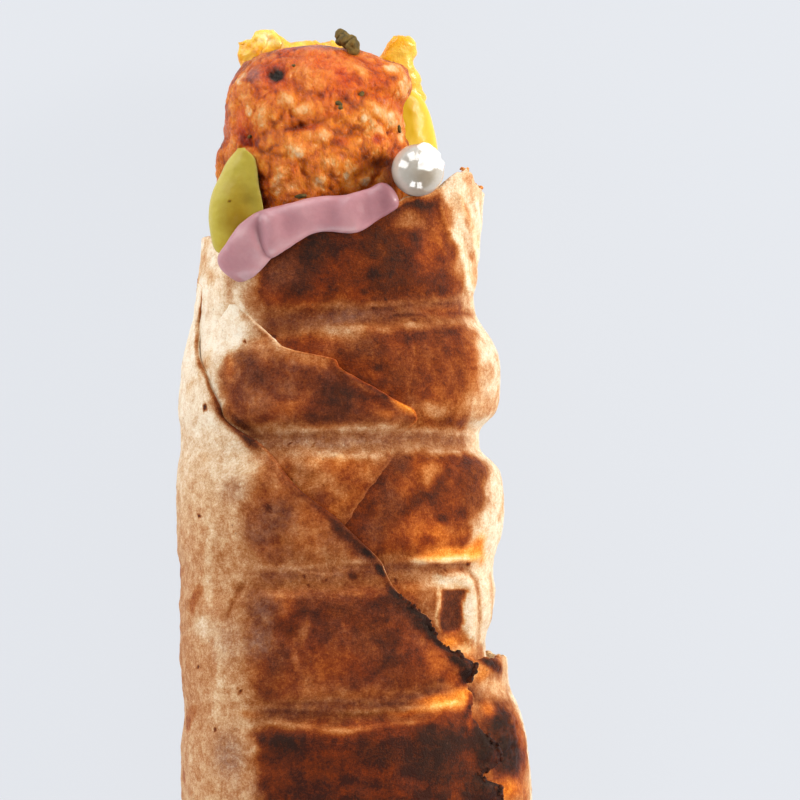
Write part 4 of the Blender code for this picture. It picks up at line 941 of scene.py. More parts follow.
def bread_material():
    made, shader, add, join = node_maker("toasted_flatbread")
    place = add("ShaderNodeTexCoord").outputs["Object"]
    cook = add("ShaderNodeAttribute", attribute_name="cook").outputs["Color"]
    parts = add("ShaderNodeSeparateColor", {0: cook}).outputs
    soft = noise(add, place, 2.2, 6.0, 0.6)
    grain = noise(add, place, 0.6, 3.0, 0.7)
    flour = noise(add, place, 0.3, 2.0, 0.8)
    drawn = add("ShaderNodeMapping", {"Vector": place, "Rotation": (0, 0, 0.35),
                                      "Scale": (1.0, 0.3, 1.0)}).outputs[0]
    streak = noise(add, drawn, 0.7, 4.0, 0.65)
    toast = sums(add, (parts[0], 1.0), (soft, 0.50), (grain, 0.36), (flour, 0.22), (streak, 0.12),
                 -0.58)
    plain = ramp(add, toast, TOAST_RAMP)
    # The second value mixes in the more orange toast and the painted glow.
    glowing = ramp(add, toast, GLOW_RAMP)
    base = mixed(add, parts[1], plain, glowing)
    # The third value mixes in the ashy bloom and the painted shade.
    bloom = noise(add, place, 1.3, 4.0, 0.7)
    cover = times(add, parts[2], sums(add, (bloom, 2.2), -0.45))
    base = mixed(add, cover, base, ramp(add, toast, ASH_RAMP))
    pits = add("ShaderNodeTexVoronoi", {"Vector": place, "Scale": 1 / (2.6 * MM),
                                        "Randomness": 1.0}).outputs["Distance"]
    dots = add("ShaderNodeMapRange", {0: pits, 1: 0.05, 2: 0.11, 3: 0.55, 4: 0.0}).outputs[0]
    pick = add("ShaderNodeMapRange", {0: noise(add, place, 5.0, 1.0), 1: 0.52, 2: 0.6}).outputs[0]
    base = mixed(add, times(add, dots, pick), base, (0.13, 0.045, 0.02, 1))
    join(base, shader.inputs["Base Color"])
    join(sums(add, (parts[0], -0.22), (grain, 0.25), 0.50), shader.inputs["Roughness"])
    height = sums(add, (soft, 0.4), (grain, 0.36), (streak, 0.12), (flour, 0.16))
    bumped(add, join, shader, height, 0.55)
    shader.inputs["Specular IOR Level"].default_value = 0.14
    shader.inputs["Specular Tint"].default_value = (1.0, 0.72, 0.45, 1)
    shader.inputs["Subsurface Weight"].default_value = 0.05
    shader.inputs["Subsurface Radius"].default_value = (1.0, 0.45, 0.2)
    shader.inputs["Subsurface Scale"].default_value = 1.6 * MM
    return made


bread = bread_material()


# ---------------------------------------------------------------- flatbread

BREAD_STEP = 0.62
SHEET = 1.25


def arc_table(y, scale=None):
    """Angles all round the roll at y and the distance along the skin to each."""
    turn = np.radians(np.linspace(-100, 400, 1001))
    ring = skin(np.full(turn.shape, y), turn, 0.0)
    steps = np.hypot(np.diff(ring[:, 0]), np.diff(ring[:, 2]))
    return turn, np.concatenate([[0], np.cumsum(steps)])


def spread_angles(y, start, stop, shares):
    """Angles from start to stop, spaced along the skin by the given shares."""
    turn, run = arc_table(y)
    first = np.interp(start, turn, run)
    last = np.interp(stop, turn, run)
    return np.interp(first + (last - first) * shares, run, turn), last - first


def base_tone(y):
    """Toast, glow and ash of the inner layer's pressed bands along the roll."""
    stops = [(-110, 0.62), (-50, 0.62), (0, 0.70), (13, 0.86), (24, 0.80), (37, 0.75), (50, 0.76),
             (60, 0.88), (70, 0.92)]
    return np.stack([through(stops, y), 0.34 + 0 * y, 0.04 + 0 * y], 1)


def flap_a_tone(y):
    stops = [(8, 0.63), (20, 0.58), (24, 0.46), (29, 0.68), (40, 0.66), (44, 0.38), (52, 0.3)]
    ash = [(8, 0.1), (22, 0.1), (29, 0.35), (42, 0.3), (46, 0.1)]
    return np.stack([through(stops, y), 0.30 + 0 * y, through(ash, y)], 1)


def flap_b_tone(y):
    stops = [(-110, 0.5), (-98, 0.68), (-84, 0.78), (-70, 0.84), (-56, 0.93), (-42, 0.93),
             (-34, 0.90), (-28, 0.64), (-20, 0.72), (-8, 0.71), (-2, 0.50), (6, 0.60), (20, 0.50),
             (30, 0.36)]
    ash = [(-110, 0.1), (-34, 0.15), (-26, 0.2), (-8, 0.3), (0, 0.3), (20, 0.25)]
    glow = [(-110, 0.2), (-50, 0.45), (-34, 0.4), (-20, 0.34), (20, 0.24)]
    return np.stack([through(stops, y), through(glow, y), through(ash, y)], 1)


def flap_r_tone(y):
    stops = [(-110, 0.6), (-60, 0.6), (-46, 0.5), (-40, 0.66), (-28, 0.36), (-20, 0.35)]
    return np.stack([through(stops, y), 0.35 + 0 * y, 0.05 + 0 * y], 1)


def shaped(y, turn, level, floor, ridges, blisters, char=None):
    """Skin points at this level with the wrinkles of one layer added."""
    flat = skin(y, turn, level, floor)
    points = flat.reshape(-1, 3)
    facing = ease(np.sin(turn).ravel() / 0.35)
    rise = relief(points, ridges, blisters, facing)
    if ridges is BASE_RIDGES:
        rise += ease(np.sin(turn).ravel() / 0.2) * ridge_field(points, POCKET_RIDGES, wander_mm=0.25)
    if char is not None:
        crust = 0.9 * folds(points, 1.9, 61) + 0.5 * cloudy(points, 0.9, 2, 63) - 0.5
        rise += 0.8 * char.ravel() * crust
    damp = ease((np.broadcast_to(y, turn.shape).ravel() - END_Y - 1.0) / 10) * 0.9 + 0.1
    return skin(y, turn, level + (rise * damp).reshape(level.shape), floor)


def painted(rings, turn, tone, stains, ridges):
    """Toast, glow and ash values, with painted light and shade among them, of an array of rings whose places on
    the roll are at these angles.
    """
    points = rings.reshape(-1, 3)
    facing = np.sin(turn).ravel()
    return toasted(points, facing, tone, stains, ridges).reshape(rings.shape)


# Where the upper fold of the closed end stops, as (x, z), and the creases of the side folds.
END_FOLD_LINE = [(-32, 31), (-20, 26), (-6, 21.5), (8, 17), (22, 12), (32, 9)]
END_CREASES = [([(-25, 45), (-15, 38), (-9, 29)], 0.9, -0.7), ([(31, 34), (21, 31), (10, 27), (4, 22)], 0.8, -0.8),
               ([(-29, 20), (-20, 18), (-12, 20)], 0.7, -0.6), ([(12, 3), (6, 8), (2, 14)], 0.7, -0.6),
               ([(-2, 46), (0, 36), (-6, 26)], 1.8, 0.5), ([(14, 45), (12, 38), (4, 33)], 1.4, 0.4)]


def end_relief(points):
    """How far the folded bread of the closed end stands out, in mm."""
    flat = points.reshape(-1, 3)
    x = flat[:, 0] + 0.8 * cloudy(flat, 6, 2, 221)
    z = flat[:, 2] + 0.8 * cloudy(flat, 6, 2, 223)
    over = ease((z - through(END_FOLD_LINE, x)) / 0.7) * (0.35 + 0.65 * ease((44 - z) / 16))
    rise = 0.9 * over + 0.35 * cloudy(flat, 9, 3, 225) + 0.12 * cloudy(flat, 2.4, 2, 227) - 0.1
    for path, width, height in END_CREASES:
        gap, share = to_line(x, z, path)
        rise += height * ease(share / 0.15) * ease((1 - share) / 0.15) * np.exp(-(gap / width) ** 2)
    return rise.reshape(points.shape[:-1])


def end_paint(points, paint, share):
    """Toast of the closed end: pale, with browned spots, and a darker line under the upper fold and in the side
    creases that is painted shade.
    """
    flat = points.reshape(-1, 3)
    x = flat[:, 0] + 0.8 * cloudy(flat, 6, 2, 221)
    z = flat[:, 2] + 0.8 * cloudy(flat, 6, 2, 223)
    spots = ease((cloudy(flat, 8, 3, 229) - 0.02) / 0.4)
    line = np.exp(-((z - through(END_FOLD_LINE, x) + 0.2) / 0.9) ** 2)
    for path, width, _ in END_CREASES[:4]:
        line = np.maximum(line, 0.7 * np.exp(-(to_line(x, z, path)[0] / width) ** 2))
    high = np.exp(-((flat[:, 2] - 24) / 16) ** 2)
    toast = 0.22 + 0.42 * spots * high + 0.20 * line + 0.08 * cloudy(flat, 3, 3, 231)
    tone = np.stack([toast, 0.15 + 0.2 * spots, 0.1 + 0.2 * spots], 1).reshape(points.shape)
    return paint + share[..., None] * (tone - paint)


def base_roll():
    """The inner layers, closed at -Y; two thin rims, one inside the other, at the mouth."""
    columns = 300
    _, total = spread_angles(0.0, 0.0, 2 * math.pi, np.array([1.0]))
    shares = np.arange(columns) / columns
    turn = spread_angles(20.0, 0.0, 2 * math.pi, shares)[0][None, :]
    straight = np.concatenate([np.arange(-103, -20, 1.1), np.arange(-20, RIM_BLEND_Y, 0.6)])
    y = straight[:, None] + 0 * turn
    turns = turn + 0 * y
    outer = shaped(y, turns, 0 * y, BASE_FLOOR, BASE_RIDGES, BASE_BLISTERS)
    lip = rim_y(turn) + 0.5 * patchy(np.stack([turn[0] * 9, turn[0] * 0, turn[0] * 0], 1), 1.0, 71)
    lip = lip + 0.25 * patchy(np.stack([turn[0] * 30, turn[0] * 0, turn[0] * 0], 1), 1.0, 73)
    corner = np.exp(-((np.degrees(turn) - 30) / 16) ** 2)
    lip = lip + 1.1 * corner * cloudy(np.stack([turn[0] * 40, turn[0] * 0, turn[0] * 0], 1), 2.0, 3, 77)
    share = np.linspace(0, 1, 46)[:, None]
    y_mouth = RIM_BLEND_Y + (lip - 0.45 - RIM_BLEND_Y) * share
    outer_mouth = shaped(y_mouth, turn + 0 * share, 0 * y_mouth, BASE_FLOOR, BASE_RIDGES,
                         BASE_BLISTERS)
    inner_drop = 1.1 + 0.7 * patchy(np.stack([turn[0] * 5, turn[0] * 0, turn[0] * 0], 1), 1.0, 75)
    profile = [(-0.1, -0.22, 0), (-0.35, -0.05, 0), (-0.65, 0.0, 0), (-0.95, -0.08, 0),
               (-1.2, -0.35, 0), (-1.32, -1.0, 0), (-1.36, -2.4, 0), (-1.5, -3.0, 0.5),
               (-1.62, -2.2, 1), (-1.66, -0.6, 1), (-1.8, -0.2, 1), (-2.1, -0.02, 1),
               (-2.4, -0.02, 1), (-2.7, -0.2, 1), (-2.95, -0.6, 1), (-3.1, -1.6, 1),
               (-3.15, -4.0, 1), (-3.15, -9.0, 1), (-3.15, -16.0, 1)]
    lips = []
    for level, back, second in profile:
        y_lip = lip + back - second * inner_drop
        rise = 0.42 * cloudy(skin(y_lip, turn, 0 * turn).reshape(-1, 3), 13, 2, 7)
        lips.append(skin(y_lip, turn, level + rise.reshape(turn.shape), BASE_FLOOR - level))
    lips = np.concatenate(lips)
    closing = np.linspace(0.015, 0.965, 62)[:, None]
    y_end = END_Y + END_LENGTH * (1 - (1 - closing ** END_ROUNDNESS) ** (1 / END_ROUNDNESS))
    cap = np.concatenate([skin(y, turn, 0 * turn, BASE_FLOOR, s) for y, s in zip(y_end, closing)])
    cap[..., 1] -= end_relief(cap) * ease((0.965 - closing) / 0.12)
    rings = np.concatenate([cap, outer, outer_mouth, lips])
    all_turns = np.broadcast_to(turn, rings.shape[:2])
    paint = painted(rings, all_turns, base_tone, BASE_STAINS, BASE_RIDGES)
    paint[:len(cap)] = end_paint(cap, paint[:len(cap)], ease((0.965 - closing) / 0.2))
    pale = len(cap) + len(outer) + len(outer_mouth)
    paint[pale:] = paint[pale:] * 0.25 + np.array([0.12, 0.03, 0])
    paint[pale - 2:pale, :, 0] = 0.5 * paint[pale - 2:pale, :, 0] + 0.1
    ring_piece("bread_roll", rings, bread, "flatbread", paint)


EDGE_STEPS = np.array([0.0, 0.05, 0.16, 0.34, 0.56, 0.85, 1.25])


def sheet_rings(rows, start, stop, level, floor, columns, ridges, blisters, char_spots=()):
    """A layer of bread with one rounded free edge, as closed rings: its face, then its back."""
    faces = []
    turns = []
    for y, first, last in zip(rows, start, stop):
        _, length = spread_angles(y, first, last, np.array([0.0]))
        body = EDGE_STEPS[-1] + (length - EDGE_STEPS[-1]) * np.linspace(0, 1, columns)[1:]
        away = np.concatenate([EDGE_STEPS, body])
        turn, _ = spread_angles(y, first, last, away / length)
        back_away = np.array([length - 0.5, length * 0.6, 9.0, 5.0, 2.6, 1.4, 0.7, 0.3, 0.1])
        back, _ = spread_angles(y, first, last, np.minimum(back_away, length * 0.9) / length)
        faces.append((away, back_away))
        turns.append(np.concatenate([turn, back]))
    turns = np.array(turns)
    y = np.asarray(rows)[:, None] + 0 * turns
    front = columns - 1 + len(EDGE_STEPS)
    away = np.array([a for a, _ in faces])
    lifted = level(y, turns)
    lip = SHEET / 2
    near = np.clip(1 - away / lip, 0, 1)
    drop = lip * (1 - np.sqrt(1 - near ** 2))
    outer = lifted[:, :front] - drop
    under = lifted[:, front:]
    gap = np.array([back for _, back in faces])
    close = np.clip(1 - gap / lip, 0, 1)
    tuck = -SHEET + lip * (1 - np.sqrt(1 - close ** 2)) * 0.9
    under = np.where(gap < 6, under + tuck, np.minimum(under - SHEET, -0.9))
    levels = np.concatenate([outer, under], 1)
    crust = np.zeros(levels.shape)
    if len(char_spots):
        rough = skin(y, turns, levels, floor)
        for row in char_spots:
            crust = np.maximum(crust, np.exp(-oval(rough[..., 0], rough[..., 1], row) ** 1.5))
    rings = shaped(y, turns, levels, floor, ridges, blisters, crust)
    return rings, turns, front, away


def edge_tint(paint, front, away, rim_tone, rim_width, dark, dark_width, shown=1.0):
    """Paints a tone on the very rim of a free edge and darkens a soft line just behind it: a pale rim tone is a
    painted highlight, a dark one painted shade, an orange one painted glow.
    """
    line = np.exp(-((away - dark_width) / dark_width) ** 2) * dark * shown
    paint[:, :front, 0] += line
    rim = np.exp(-(away / rim_width) ** 2)[..., None] * (shown if np.isscalar(shown)
                                                         else np.asarray(shown)[..., None])
    paint[:, :front] += rim * 0.8 * (np.array(rim_tone) - paint[:, :front])
    return paint


def jagged(y, size, amount, seed):
    """Small in-and-out steps of a torn edge along y, in mm."""
    y = np.asarray(y, float)
    points = np.stack([y, 0 * y, 0 * y], 1)
    return amount * cloudy(points, size, 3, seed)


def grip(y, seed):
    """How far a layer's free edge stands up along its length, from pressed down to free."""
    flat = np.ravel(np.asarray(y, float))
    along = np.stack([flat, 0 * flat, 0 * flat], 1)
    return (0.62 + 0.42 * patchy(along, 5.0, seed)).reshape(np.shape(y))


def flap_a():
    rows = np.concatenate([np.linspace(52.5, 44, 20)[:-1], np.linspace(44, 6, 84)])
    edge_x = through(FLAP_A_EDGE, rows) + jagged(rows, 2.6, 0.6, 81) + jagged(rows, 0.9, 0.45, 82)
    stop = np.full(rows.shape, math.radians(190))

    def level(y, turn):
        fade = ease((math.radians(175) - turn) / 0.9)
        rise = ease((54 - y) / 8) * (0.30 + 0.70 * ease((y - 24.5) / 5) * grip(y, 83))
        return -0.35 + (LAYER + 0.35) * fade * rise

    start = lifted_angles_at(rows, edge_x, level)
    rings, turns, front, away = sheet_rings(rows, start, stop, level, 0.2, 110, A_RIDGES,
                                            A_BLISTERS, A_CHAR)
    paint = painted(rings, turns, flap_a_tone, A_STAINS, A_RIDGES)
    # An orange rim towards the tip of the free edge: painted light glowing through the thin edge.
    glowing = ease((rows - 26) / 4) * ease((46 - rows) / 8)
    edge_tint(paint, front, away, (0.62, 0.9, 0), 0.45, 0.12, 1.1, glowing[:, None])
    # A dark rim lower down: painted shade along the edge.
    flush = ease((24 - rows) / 3)
    edge_tint(paint, front, away, (0.60, 0.2, 0.3), 0.7, 0.06, 1.0, flush[:, None])
    # A pale rim near the fold at the top: painted highlight.
    folded = ease((rows - 42) / 4)[:, None]
    edge_tint(paint, front, away, (0.12, 0.05, 0), 0.4, 0.04, 1.0, folded)
    ring_piece("bread_flap_a", rings, bread, "flatbread", paint)


def crisp_level(y, turn):
    """Level of the crisp outer layer, which stands off the roll on the right."""
    side = np.exp(-((turn - math.radians(-5)) / math.radians(36)) ** 2)
    closing = ease((y - END_Y - 3.5) / 12)
    return -0.4 + (0.8 + FLAP_R_LIFT * side) * closing


A_CHAR = [(6.2, 33.0, 2.6, 1.4, -30), (-2.0, 38.6, 3.0, 1.0, -40)]
B_CHAR = [(22.8, -21.6, 3.0, 2.0, -45), (26.5, -37.8, 2.6, 4.6, 5), (27.0, -47.2, 3.4, 3.4, 0),
          (10.2, -7.6, 1.8, 3.0, 40), (15.4, -13.6, 1.6, 5.4, 38), (19.2, -18.0, 1.6, 2.8, 38)]
R_CHAR = [(27.8, -20.6, 2.6, 1.8, -35), (30.2, -35.4, 4.4, 7.4, 8)]


# Stretches of the outer layer's free edge where burnt nodules sit: from y, to y, largest size.
CHAR_RUNS = [(-6.4, -9.6, 0.75), (-11.5, -17.5, 0.6), (-18.2, -24.6, 1.15), (-33.6, -43.6, 0.8),
             (-45.0, -51.0, 0.9)]


def charred_edge(piece):
    """Small burnt nodules along the free edge, sitting on the layer's upper face."""
    rows = []
    for run, (first, last, size) in enumerate(CHAR_RUNS):
        count = int(abs(last - first) / (size * 0.9)) + 1
        for k, y in enumerate(np.linspace(first, last, count)):
            along, off, big = (float(lattice(np.array([k]), np.array([run]), np.array([s]), 7)[0])
                               for s in (1, 2, 3))
            y += (along - 0.5) * size
            x = float(through(FLAP_B_EDGE, y)) - 0.3 - 0.9 * size * off
            radius = size * (0.5 + 0.5 * big)
            rows.append((x, y, top_of(piece, x, y) - 0.35 * radius, radius, 0.75 * radius,
                         0.7 * radius, 180 * off))
    nuggets("bread_char", rows, bread, "flatbread", 0.6, (0.93, 0.1, 0.1))


def flap_b():
    """The outermost layer, whose crisp free edge runs from the left rim to the lower right."""
    rows = np.concatenate([np.arange(66, 0, -0.62), np.arange(0, -52, -0.38),
                           np.arange(-52, END_Y + 6, -1.1), END_Y + np.array([5.2, 4.2, 3])])
    crisp = ease((-3 - rows) / 4)
    edge_x = through(FLAP_B_EDGE, rows) + jagged(rows, 2.4, 0.35, 91)
    edge_x += crisp * (jagged(rows, 2.6, 1.0, 93) + jagged(rows, 0.9, 0.7, 94))

    def level(y, turn):
        over_a = ease((y - 4) / 6) * ease((44 - y) / 10) * ease((math.radians(150) - turn) / 0.5)
        over_r = ease((-13 - y) / 7) * np.maximum(crisp_level(y, turn), 0)
        closing = ease((y - END_Y - 3.5) / 8)
        start_up = 0.30 + 0.70 * ease((56 - y) / 14)
        free = 1 - ease((y + 4) / 6) * (1 - grip(y, 99)) * ease((math.radians(150) - turn) / 0.4)
        return -0.5 + (LAYER + 0.5 + 1.2 * over_a + over_r) * closing * start_up * free

    start = np.where(rows > FLAP_B_EDGE[0][0], np.radians(through(FLAP_B_BACK, rows)),
                     lifted_angles_at(rows, edge_x, level))
    stop = np.full(rows.shape, math.radians(295))
    rings, turns, front, away = sheet_rings(rows, start, stop, level, 0.0, 225, B_RIDGES,
                                            B_BLISTERS, B_CHAR)
    paint = painted(rings, turns, flap_b_tone, B_STAINS, B_RIDGES)
    along = np.stack([rows, 0 * rows, 0 * rows], 1)
    upper = ease((rows - 0) / 5)
    # Along the upper edge a dark rim: painted shadow line.
    edge_tint(paint, front, away, (0.80, 0.2, 0.1), 0.45, 0.10, 1.2,
              (upper * np.clip(0.7 + 0.6 * patchy(along, 4.0, 98), 0, 1))[:, None])
    # Along the broken lower edge a pale rim: painted highlight, with a line of char behind it.
    broken = (1 - upper) * np.clip(0.65 + 0.9 * patchy(along, 1.6, 97), 0, 1)
    edge_tint(paint, front, away, (0.06, 0.2, 0), 0.24, 0.42, 1.0, broken[:, None])
    piece = ring_piece("bread_flap_b", rings, bread, "flatbread", paint)
    charred_edge(piece)


def flap_r():
    """The crisp outer layer on the lower right; its free edge is the one towards the mouth."""
    lip = SHEET / 2
    back = np.array([0.0, 0.06, 0.18, 0.36, 0.6, 0.9, 1.4])
    face_y = np.concatenate([FLAP_R_TOP_Y - back, np.arange(FLAP_R_TOP_Y - 2, -52, -0.62),
                             np.arange(-52, END_Y + 4, -1.2)])
    under_y = np.array([END_Y + 6, -90, -70, -50, -40, -32, -27, -23.5, -21.6, -20.5, -19.8, -19.3,
                        -19.05])
    rows_y = np.concatenate([face_y, under_y])
    shares = np.linspace(0, 1, 190)
    turns = np.array([spread_angles(y, math.radians(-95), math.radians(66), shares)[0]
                      for y in rows_y])
    gap = FLAP_R_TOP_Y - rows_y
    drop = lip * (1 - np.sqrt(1 - np.clip(1 - gap / lip, 0, 1) ** 2))
    way = np.degrees(turns[0])
    ragged = 1.1 * cloudy(np.stack([way * 0.6, 0 * way, 0 * way], 1), 5, 3, 95)
    ragged += 0.5 * patchy(np.stack([way * 0.6, 0 * way, 0 * way], 1), 1.1, 96)
    spike = 0.9 * np.exp(-((way - 37) / 4) ** 2)
    y = rows_y[:, None] + (ragged - 0.5 + spike)[None, :] * ease(1 - gap / 9)[:, None]
    y = np.minimum(y, FLAP_R_TOP_Y + 0.7)
    below = np.arange(len(rows_y)) >= len(face_y)
    above = crisp_level(y, turns) - drop[:, None]
    beneath = crisp_level(y, turns) - SHEET + 0.9 * drop[:, None]
    beneath = np.where((gap < 5)[:, None], beneath, np.minimum(beneath, -0.9))
    level = np.where(below[:, None], beneath, above)
    flat = skin(y, turns, level, 0.4)
    crust = np.zeros(level.shape)
    for row in R_CHAR:
        crust = np.maximum(crust, np.exp(-oval(flat[..., 0], flat[..., 1], row) ** 1.5))
    rings = shaped(y, turns, level, 0.4, [], R_BLISTERS, crust)
    paint = painted(rings, turns, flap_r_tone, R_STAINS, [])
    # A pale orange rim along the free edge towards the mouth: painted highlight and glow.
    rim = np.exp(-(np.maximum(FLAP_R_TOP_Y - y, 0) / 0.5) ** 2)[..., None]
    paint += 0.6 * rim * (np.array((0.3, 0.5, 0)) - paint)
    ring_piece("bread_flap_r", rings.transpose(1, 0, 2), bread, "flatbread",
               paint.transpose(1, 0, 2))


base_roll()
flap_a()
flap_b()
flap_r()

# ---------------------------------------------------------------- chicken

CHICKEN_LEFT = [(66, -27.2), (75, -28.2), (80, -28.8), (84, -28.2), (87, -27.1), (91.6, -26.8),
                (95.7, -26.3), (98.9, -25.3), (101.4, -23.5), (103.2, -21.1), (104.4, -18.4),
                (105.2, -14.6), (105.7, -10.5), (105.9, -8.4)]
CHICKEN_RIGHT = [(66, 10.6), (76, 11.0), (81, 11.2), (85.2, 10.7), (88.7, 9.8), (93.2, 9.6),
                 (96.1, 10.9), (99.3, 10.6), (101.8, 8.4), (103.0, 4.6), (104.4, 0.6),
                 (105.3, -3.4), (105.8, -6.2), (105.9, -7.0)]
CHICKEN_HEIGHT = [(70, 26.8, 13.6), (78, 28.0, 14.2), (88, 28.8, 14.6), (95, 29, 14.0),
                  (100, 28.6, 12.2), (103.4, 28, 9.0), (105.0, 27.4, 5.4), (105.9, 27.2, 1.0)]
CORE_INSET = -3.55
CORE_FLOOR = 4.35
SLACK = 1.3
CORE_BLEND = (57, 71)
# Lumps of meat: x, y, half sizes, turn, height.  Negative ones are clefts between them.
MEAT_LUMPS = [(-8.1, 97.7, 3.2, 2.6, 0, 0.9), (-14.2, 94.0, 2.8, 2.4, 20, 0.8),
              (-18.7, 90.9, 2.6, 3.0, 0, 0.8), (-10.6, 92.0, 2.6, 1.6, 0, 0.6),
              (-6.2, 86.6, 2.4, 2.0, 0, 0.6), (-12.6, 83.4, 2.8, 2.2, 0, 0.6),
              (-5.0, 81.6, 2.6, 2.2, 0, 0.5), (-15.4, 78.6, 2.6, 2.4, 0, 0.5),
              (-6.8, 77.6, 2.8, 2.4, 0, 0.5), (6.4, 90.0, 4.2, 1.8, -42, 0.8),
              (0.6, 100.4, 2.8, 1.5, -35, 0.7), (8.8, 98.2, 1.6, 3.4, 20, 0.6),
              (4.0, 84.2, 3.0, 2.6, 0, 0.6), (2.0, 77.8, 2.6, 2.4, 0, 0.5),
              (-20.6, 99.4, 2.2, 1.8, 10, 0.6), (-22.0, 95.4, 2.0, 2.6, 0, 0.5),
              (-11.4, 88.3, 4.0, 0.8, 6, -1.5), (-22.0, 85.6, 1.2, 2.4, -20, -1.2),
              (-16.2, 99.4, 1.4, 1.3, 0, -1.2), (-3.4, 93.0, 1.3, 0.9, 0, -0.7),
              (1.2, 95.1, 1.3, 0.8, 0, -0.6), (-3.0, 89.0, 5.0, 0.8, -12, -0.7),
              (0.5, 87.0, 3.0, 0.8, 10, -0.5), (4.6, 95.6, 3.6, 0.9, -20, -0.9),
              (-3.4, 99.3, 0.9, 0.8, 0, -0.6), (4.2, 86.0, 0.7, 1.0, 0, -0.5),
              (-11.0, 79.6, 0.7, 4.0, 10, -0.5), (-2.0, 77.0, 0.7, 3.4, 0, -0.5)]
# The hollow in the meat that the pickle lies in.
PICKLE_BED = (-24.6, 71.5, 7.2, 12.6, 6)
# Chicken stains and painted wet highlights: x, y, half sizes, turn, (brownness, redness, greyness), strength.
PALE = (0.13, 0.10, 0.0)
MEAT_STAINS = [
    (-8.1, 97.7, 2.7, 2.1, 0, (0.26, 0.4, 0.04), 0.8), (-14.2, 94.0, 2.6, 2.1, 20, PALE, 0.8),
    (-18.7, 90.9, 1.9, 2.7, 0, PALE, 0.8), (-10.6, 92.0, 2.3, 1.4, 0, PALE, 0.85),
    (-6.2, 86.6, 1.5, 1.5, 0, (0.14, 0.2, 0.1), 0.85), (-12.9, 83.4, 1.9, 1.8, 0, PALE, 0.7),
    (-5.4, 81.4, 2.1, 1.6, 0, PALE, 0.7), (-15.4, 78.6, 1.9, 2.1, 0, PALE, 0.75),
    (-6.7, 77.6, 1.6, 1.7, 0, PALE, 0.75), (-1.6, 80.7, 1.1, 2.0, 0, PALE, 0.7),
    (-22.2, 95.0, 1.6, 2.6, 0, (0.2, 0.2, 0.1), 0.7), (-24.4, 89.6, 1.5, 1.6, 0, PALE, 0.5),
    # This line and the next three are painted wet highlights on the lumps.
    (-0.9, 101.3, 1.5, 1.1, 0, (0.10, 0, 0), 0.8), (1.4, 99.8, 2.0, 1.1, -50, (0.06, 0, 0), 0.8),
    (7.2, 100.6, 1.8, 1.1, -25, (0.06, 0, 0), 0.8), (9.5, 97.0, 1.0, 2.6, 12, (0.06, 0, 0), 0.8),
    (6.2, 90.2, 3.6, 1.1, -42, (0.10, 0, 0), 0.8), (9.0, 86.8, 1.0, 1.6, 20, (0.0, 0, 0), 0.8),
    (4.2, 92.4, 2.0, 1.0, -30, (0.12, 0, 0), 0.7),
    (-11.4, 88.1, 3.6, 0.7, 6, (0.84, 0.4, 0), 0.95), (-8.4, 88.2, 1.6, 0.6, 0, (0.6, 0.8, 0), 0.6),
    (-14.0, 102.4, 5.0, 1.6, 15, (0.6, 0.2, 0), 0.6), (-5.0, 102.4, 6.0, 2.2, 0, (0.42, 0.8, 0), 0.7),
    (-10.6, 100.6, 3.2, 1.8, 0, (0.42, 0.8, 0), 0.6), (-15.0, 97.0, 3.4, 1.4, 0, (0.44, 0.9, 0), 0.7),
    (-3.6, 97.0, 1.8, 2.6, 0, (0.44, 0.8, 0), 0.6), (-3.3, 99.4, 0.9, 0.9, 0, (0.72, 0.9, 0), 0.8),
    (-0.2, 103.4, 3.0, 1.4, -20, (0.52, 0.5, 0), 0.5), (3.0, 97.2, 2.4, 1.6, 0, (0.44, 0.6, 0), 0.6),
    (5.6, 94.6, 4.2, 1.6, -20, (0.5, 0.5, 0), 0.8), (9.0, 93.6, 1.6, 1.6, 0, (0.5, 0.4, 0), 0.7),
    (-23.4, 90.4, 1.4, 2.0, 0, (0.42, 1, 0), 0.85), (-23.4, 88.1, 1.1, 1.2, 0, (0.58, 1, 0), 0.95),
    (-23.0, 85.9, 1.0, 1.3, 0, (0.80, 1, 0), 0.95), (-20.6, 85.4, 0.8, 0.9, 0, (0.88, 0.6, 0.3), 0.9),
    (-20.5, 99.3, 1.9, 1.7, 10, (0.5, 0, 1), 1.0), (-16.6, 99.6, 2.9, 2.6, 0, (0.58, 1, 0), 0.95),
    (-16.3, 99.3, 1.7, 1.6, 0, (1.25, 0, 0), 1.0), (-21.8, 98.0, 1.4, 0.5, -10, (0.95, 0, 0.3), 0.7),
    (-2.6, 85.4, 1.8, 1.0, 0, (0.5, 0.9, 0), 0.6), (4.2, 86.1, 1.0, 1.2, 0, (0.72, 1, 0), 0.85),
    (-5.2, 90.8, 1.6, 0.9, 0, (0.42, 1, 0), 0.8), (-20.4, 77.0, 2.4, 3.4, 0, (0.74, 0.1, 0), 0.6),
    (-19.2, 73.2, 3.4, 1.8, 0, (0.84, 0.1, 0), 0.8), (-12.0, 74.6, 4.0, 1.4, 15, (0.68, 0.1, 0), 0.6),
    (8.0, 79.6, 2.2, 3.0, 0, (0.66, 0.3, 0), 0.6), (-10.6, 81.0, 4.0, 0.8, 0, (0.56, 0.2, 0), 0.5),
    (-26.4, 83.0, 1.6, 3.0, 0, (0.34, 0.2, 0.1), 0.7), (-24.6, 101.0, 1.4, 2.0, 0, (0.4, 0, 0.1), 0.6),
    (-0.4, 105.6, 5.0, 1.4, -20, (0.36, 0.1, 0), 0.7),
]
MEAT_RAMP = [(0.0, (0.95, 0.66, 0.40)), (0.14, (0.88, 0.45, 0.16)), (0.28, (0.84, 0.25, 0.020)),
             (0.48, (0.66, 0.135, 0.003)), (0.72, (0.32, 0.050, 0.003)),
             (1.0, (0.012, 0.008, 0.007))]
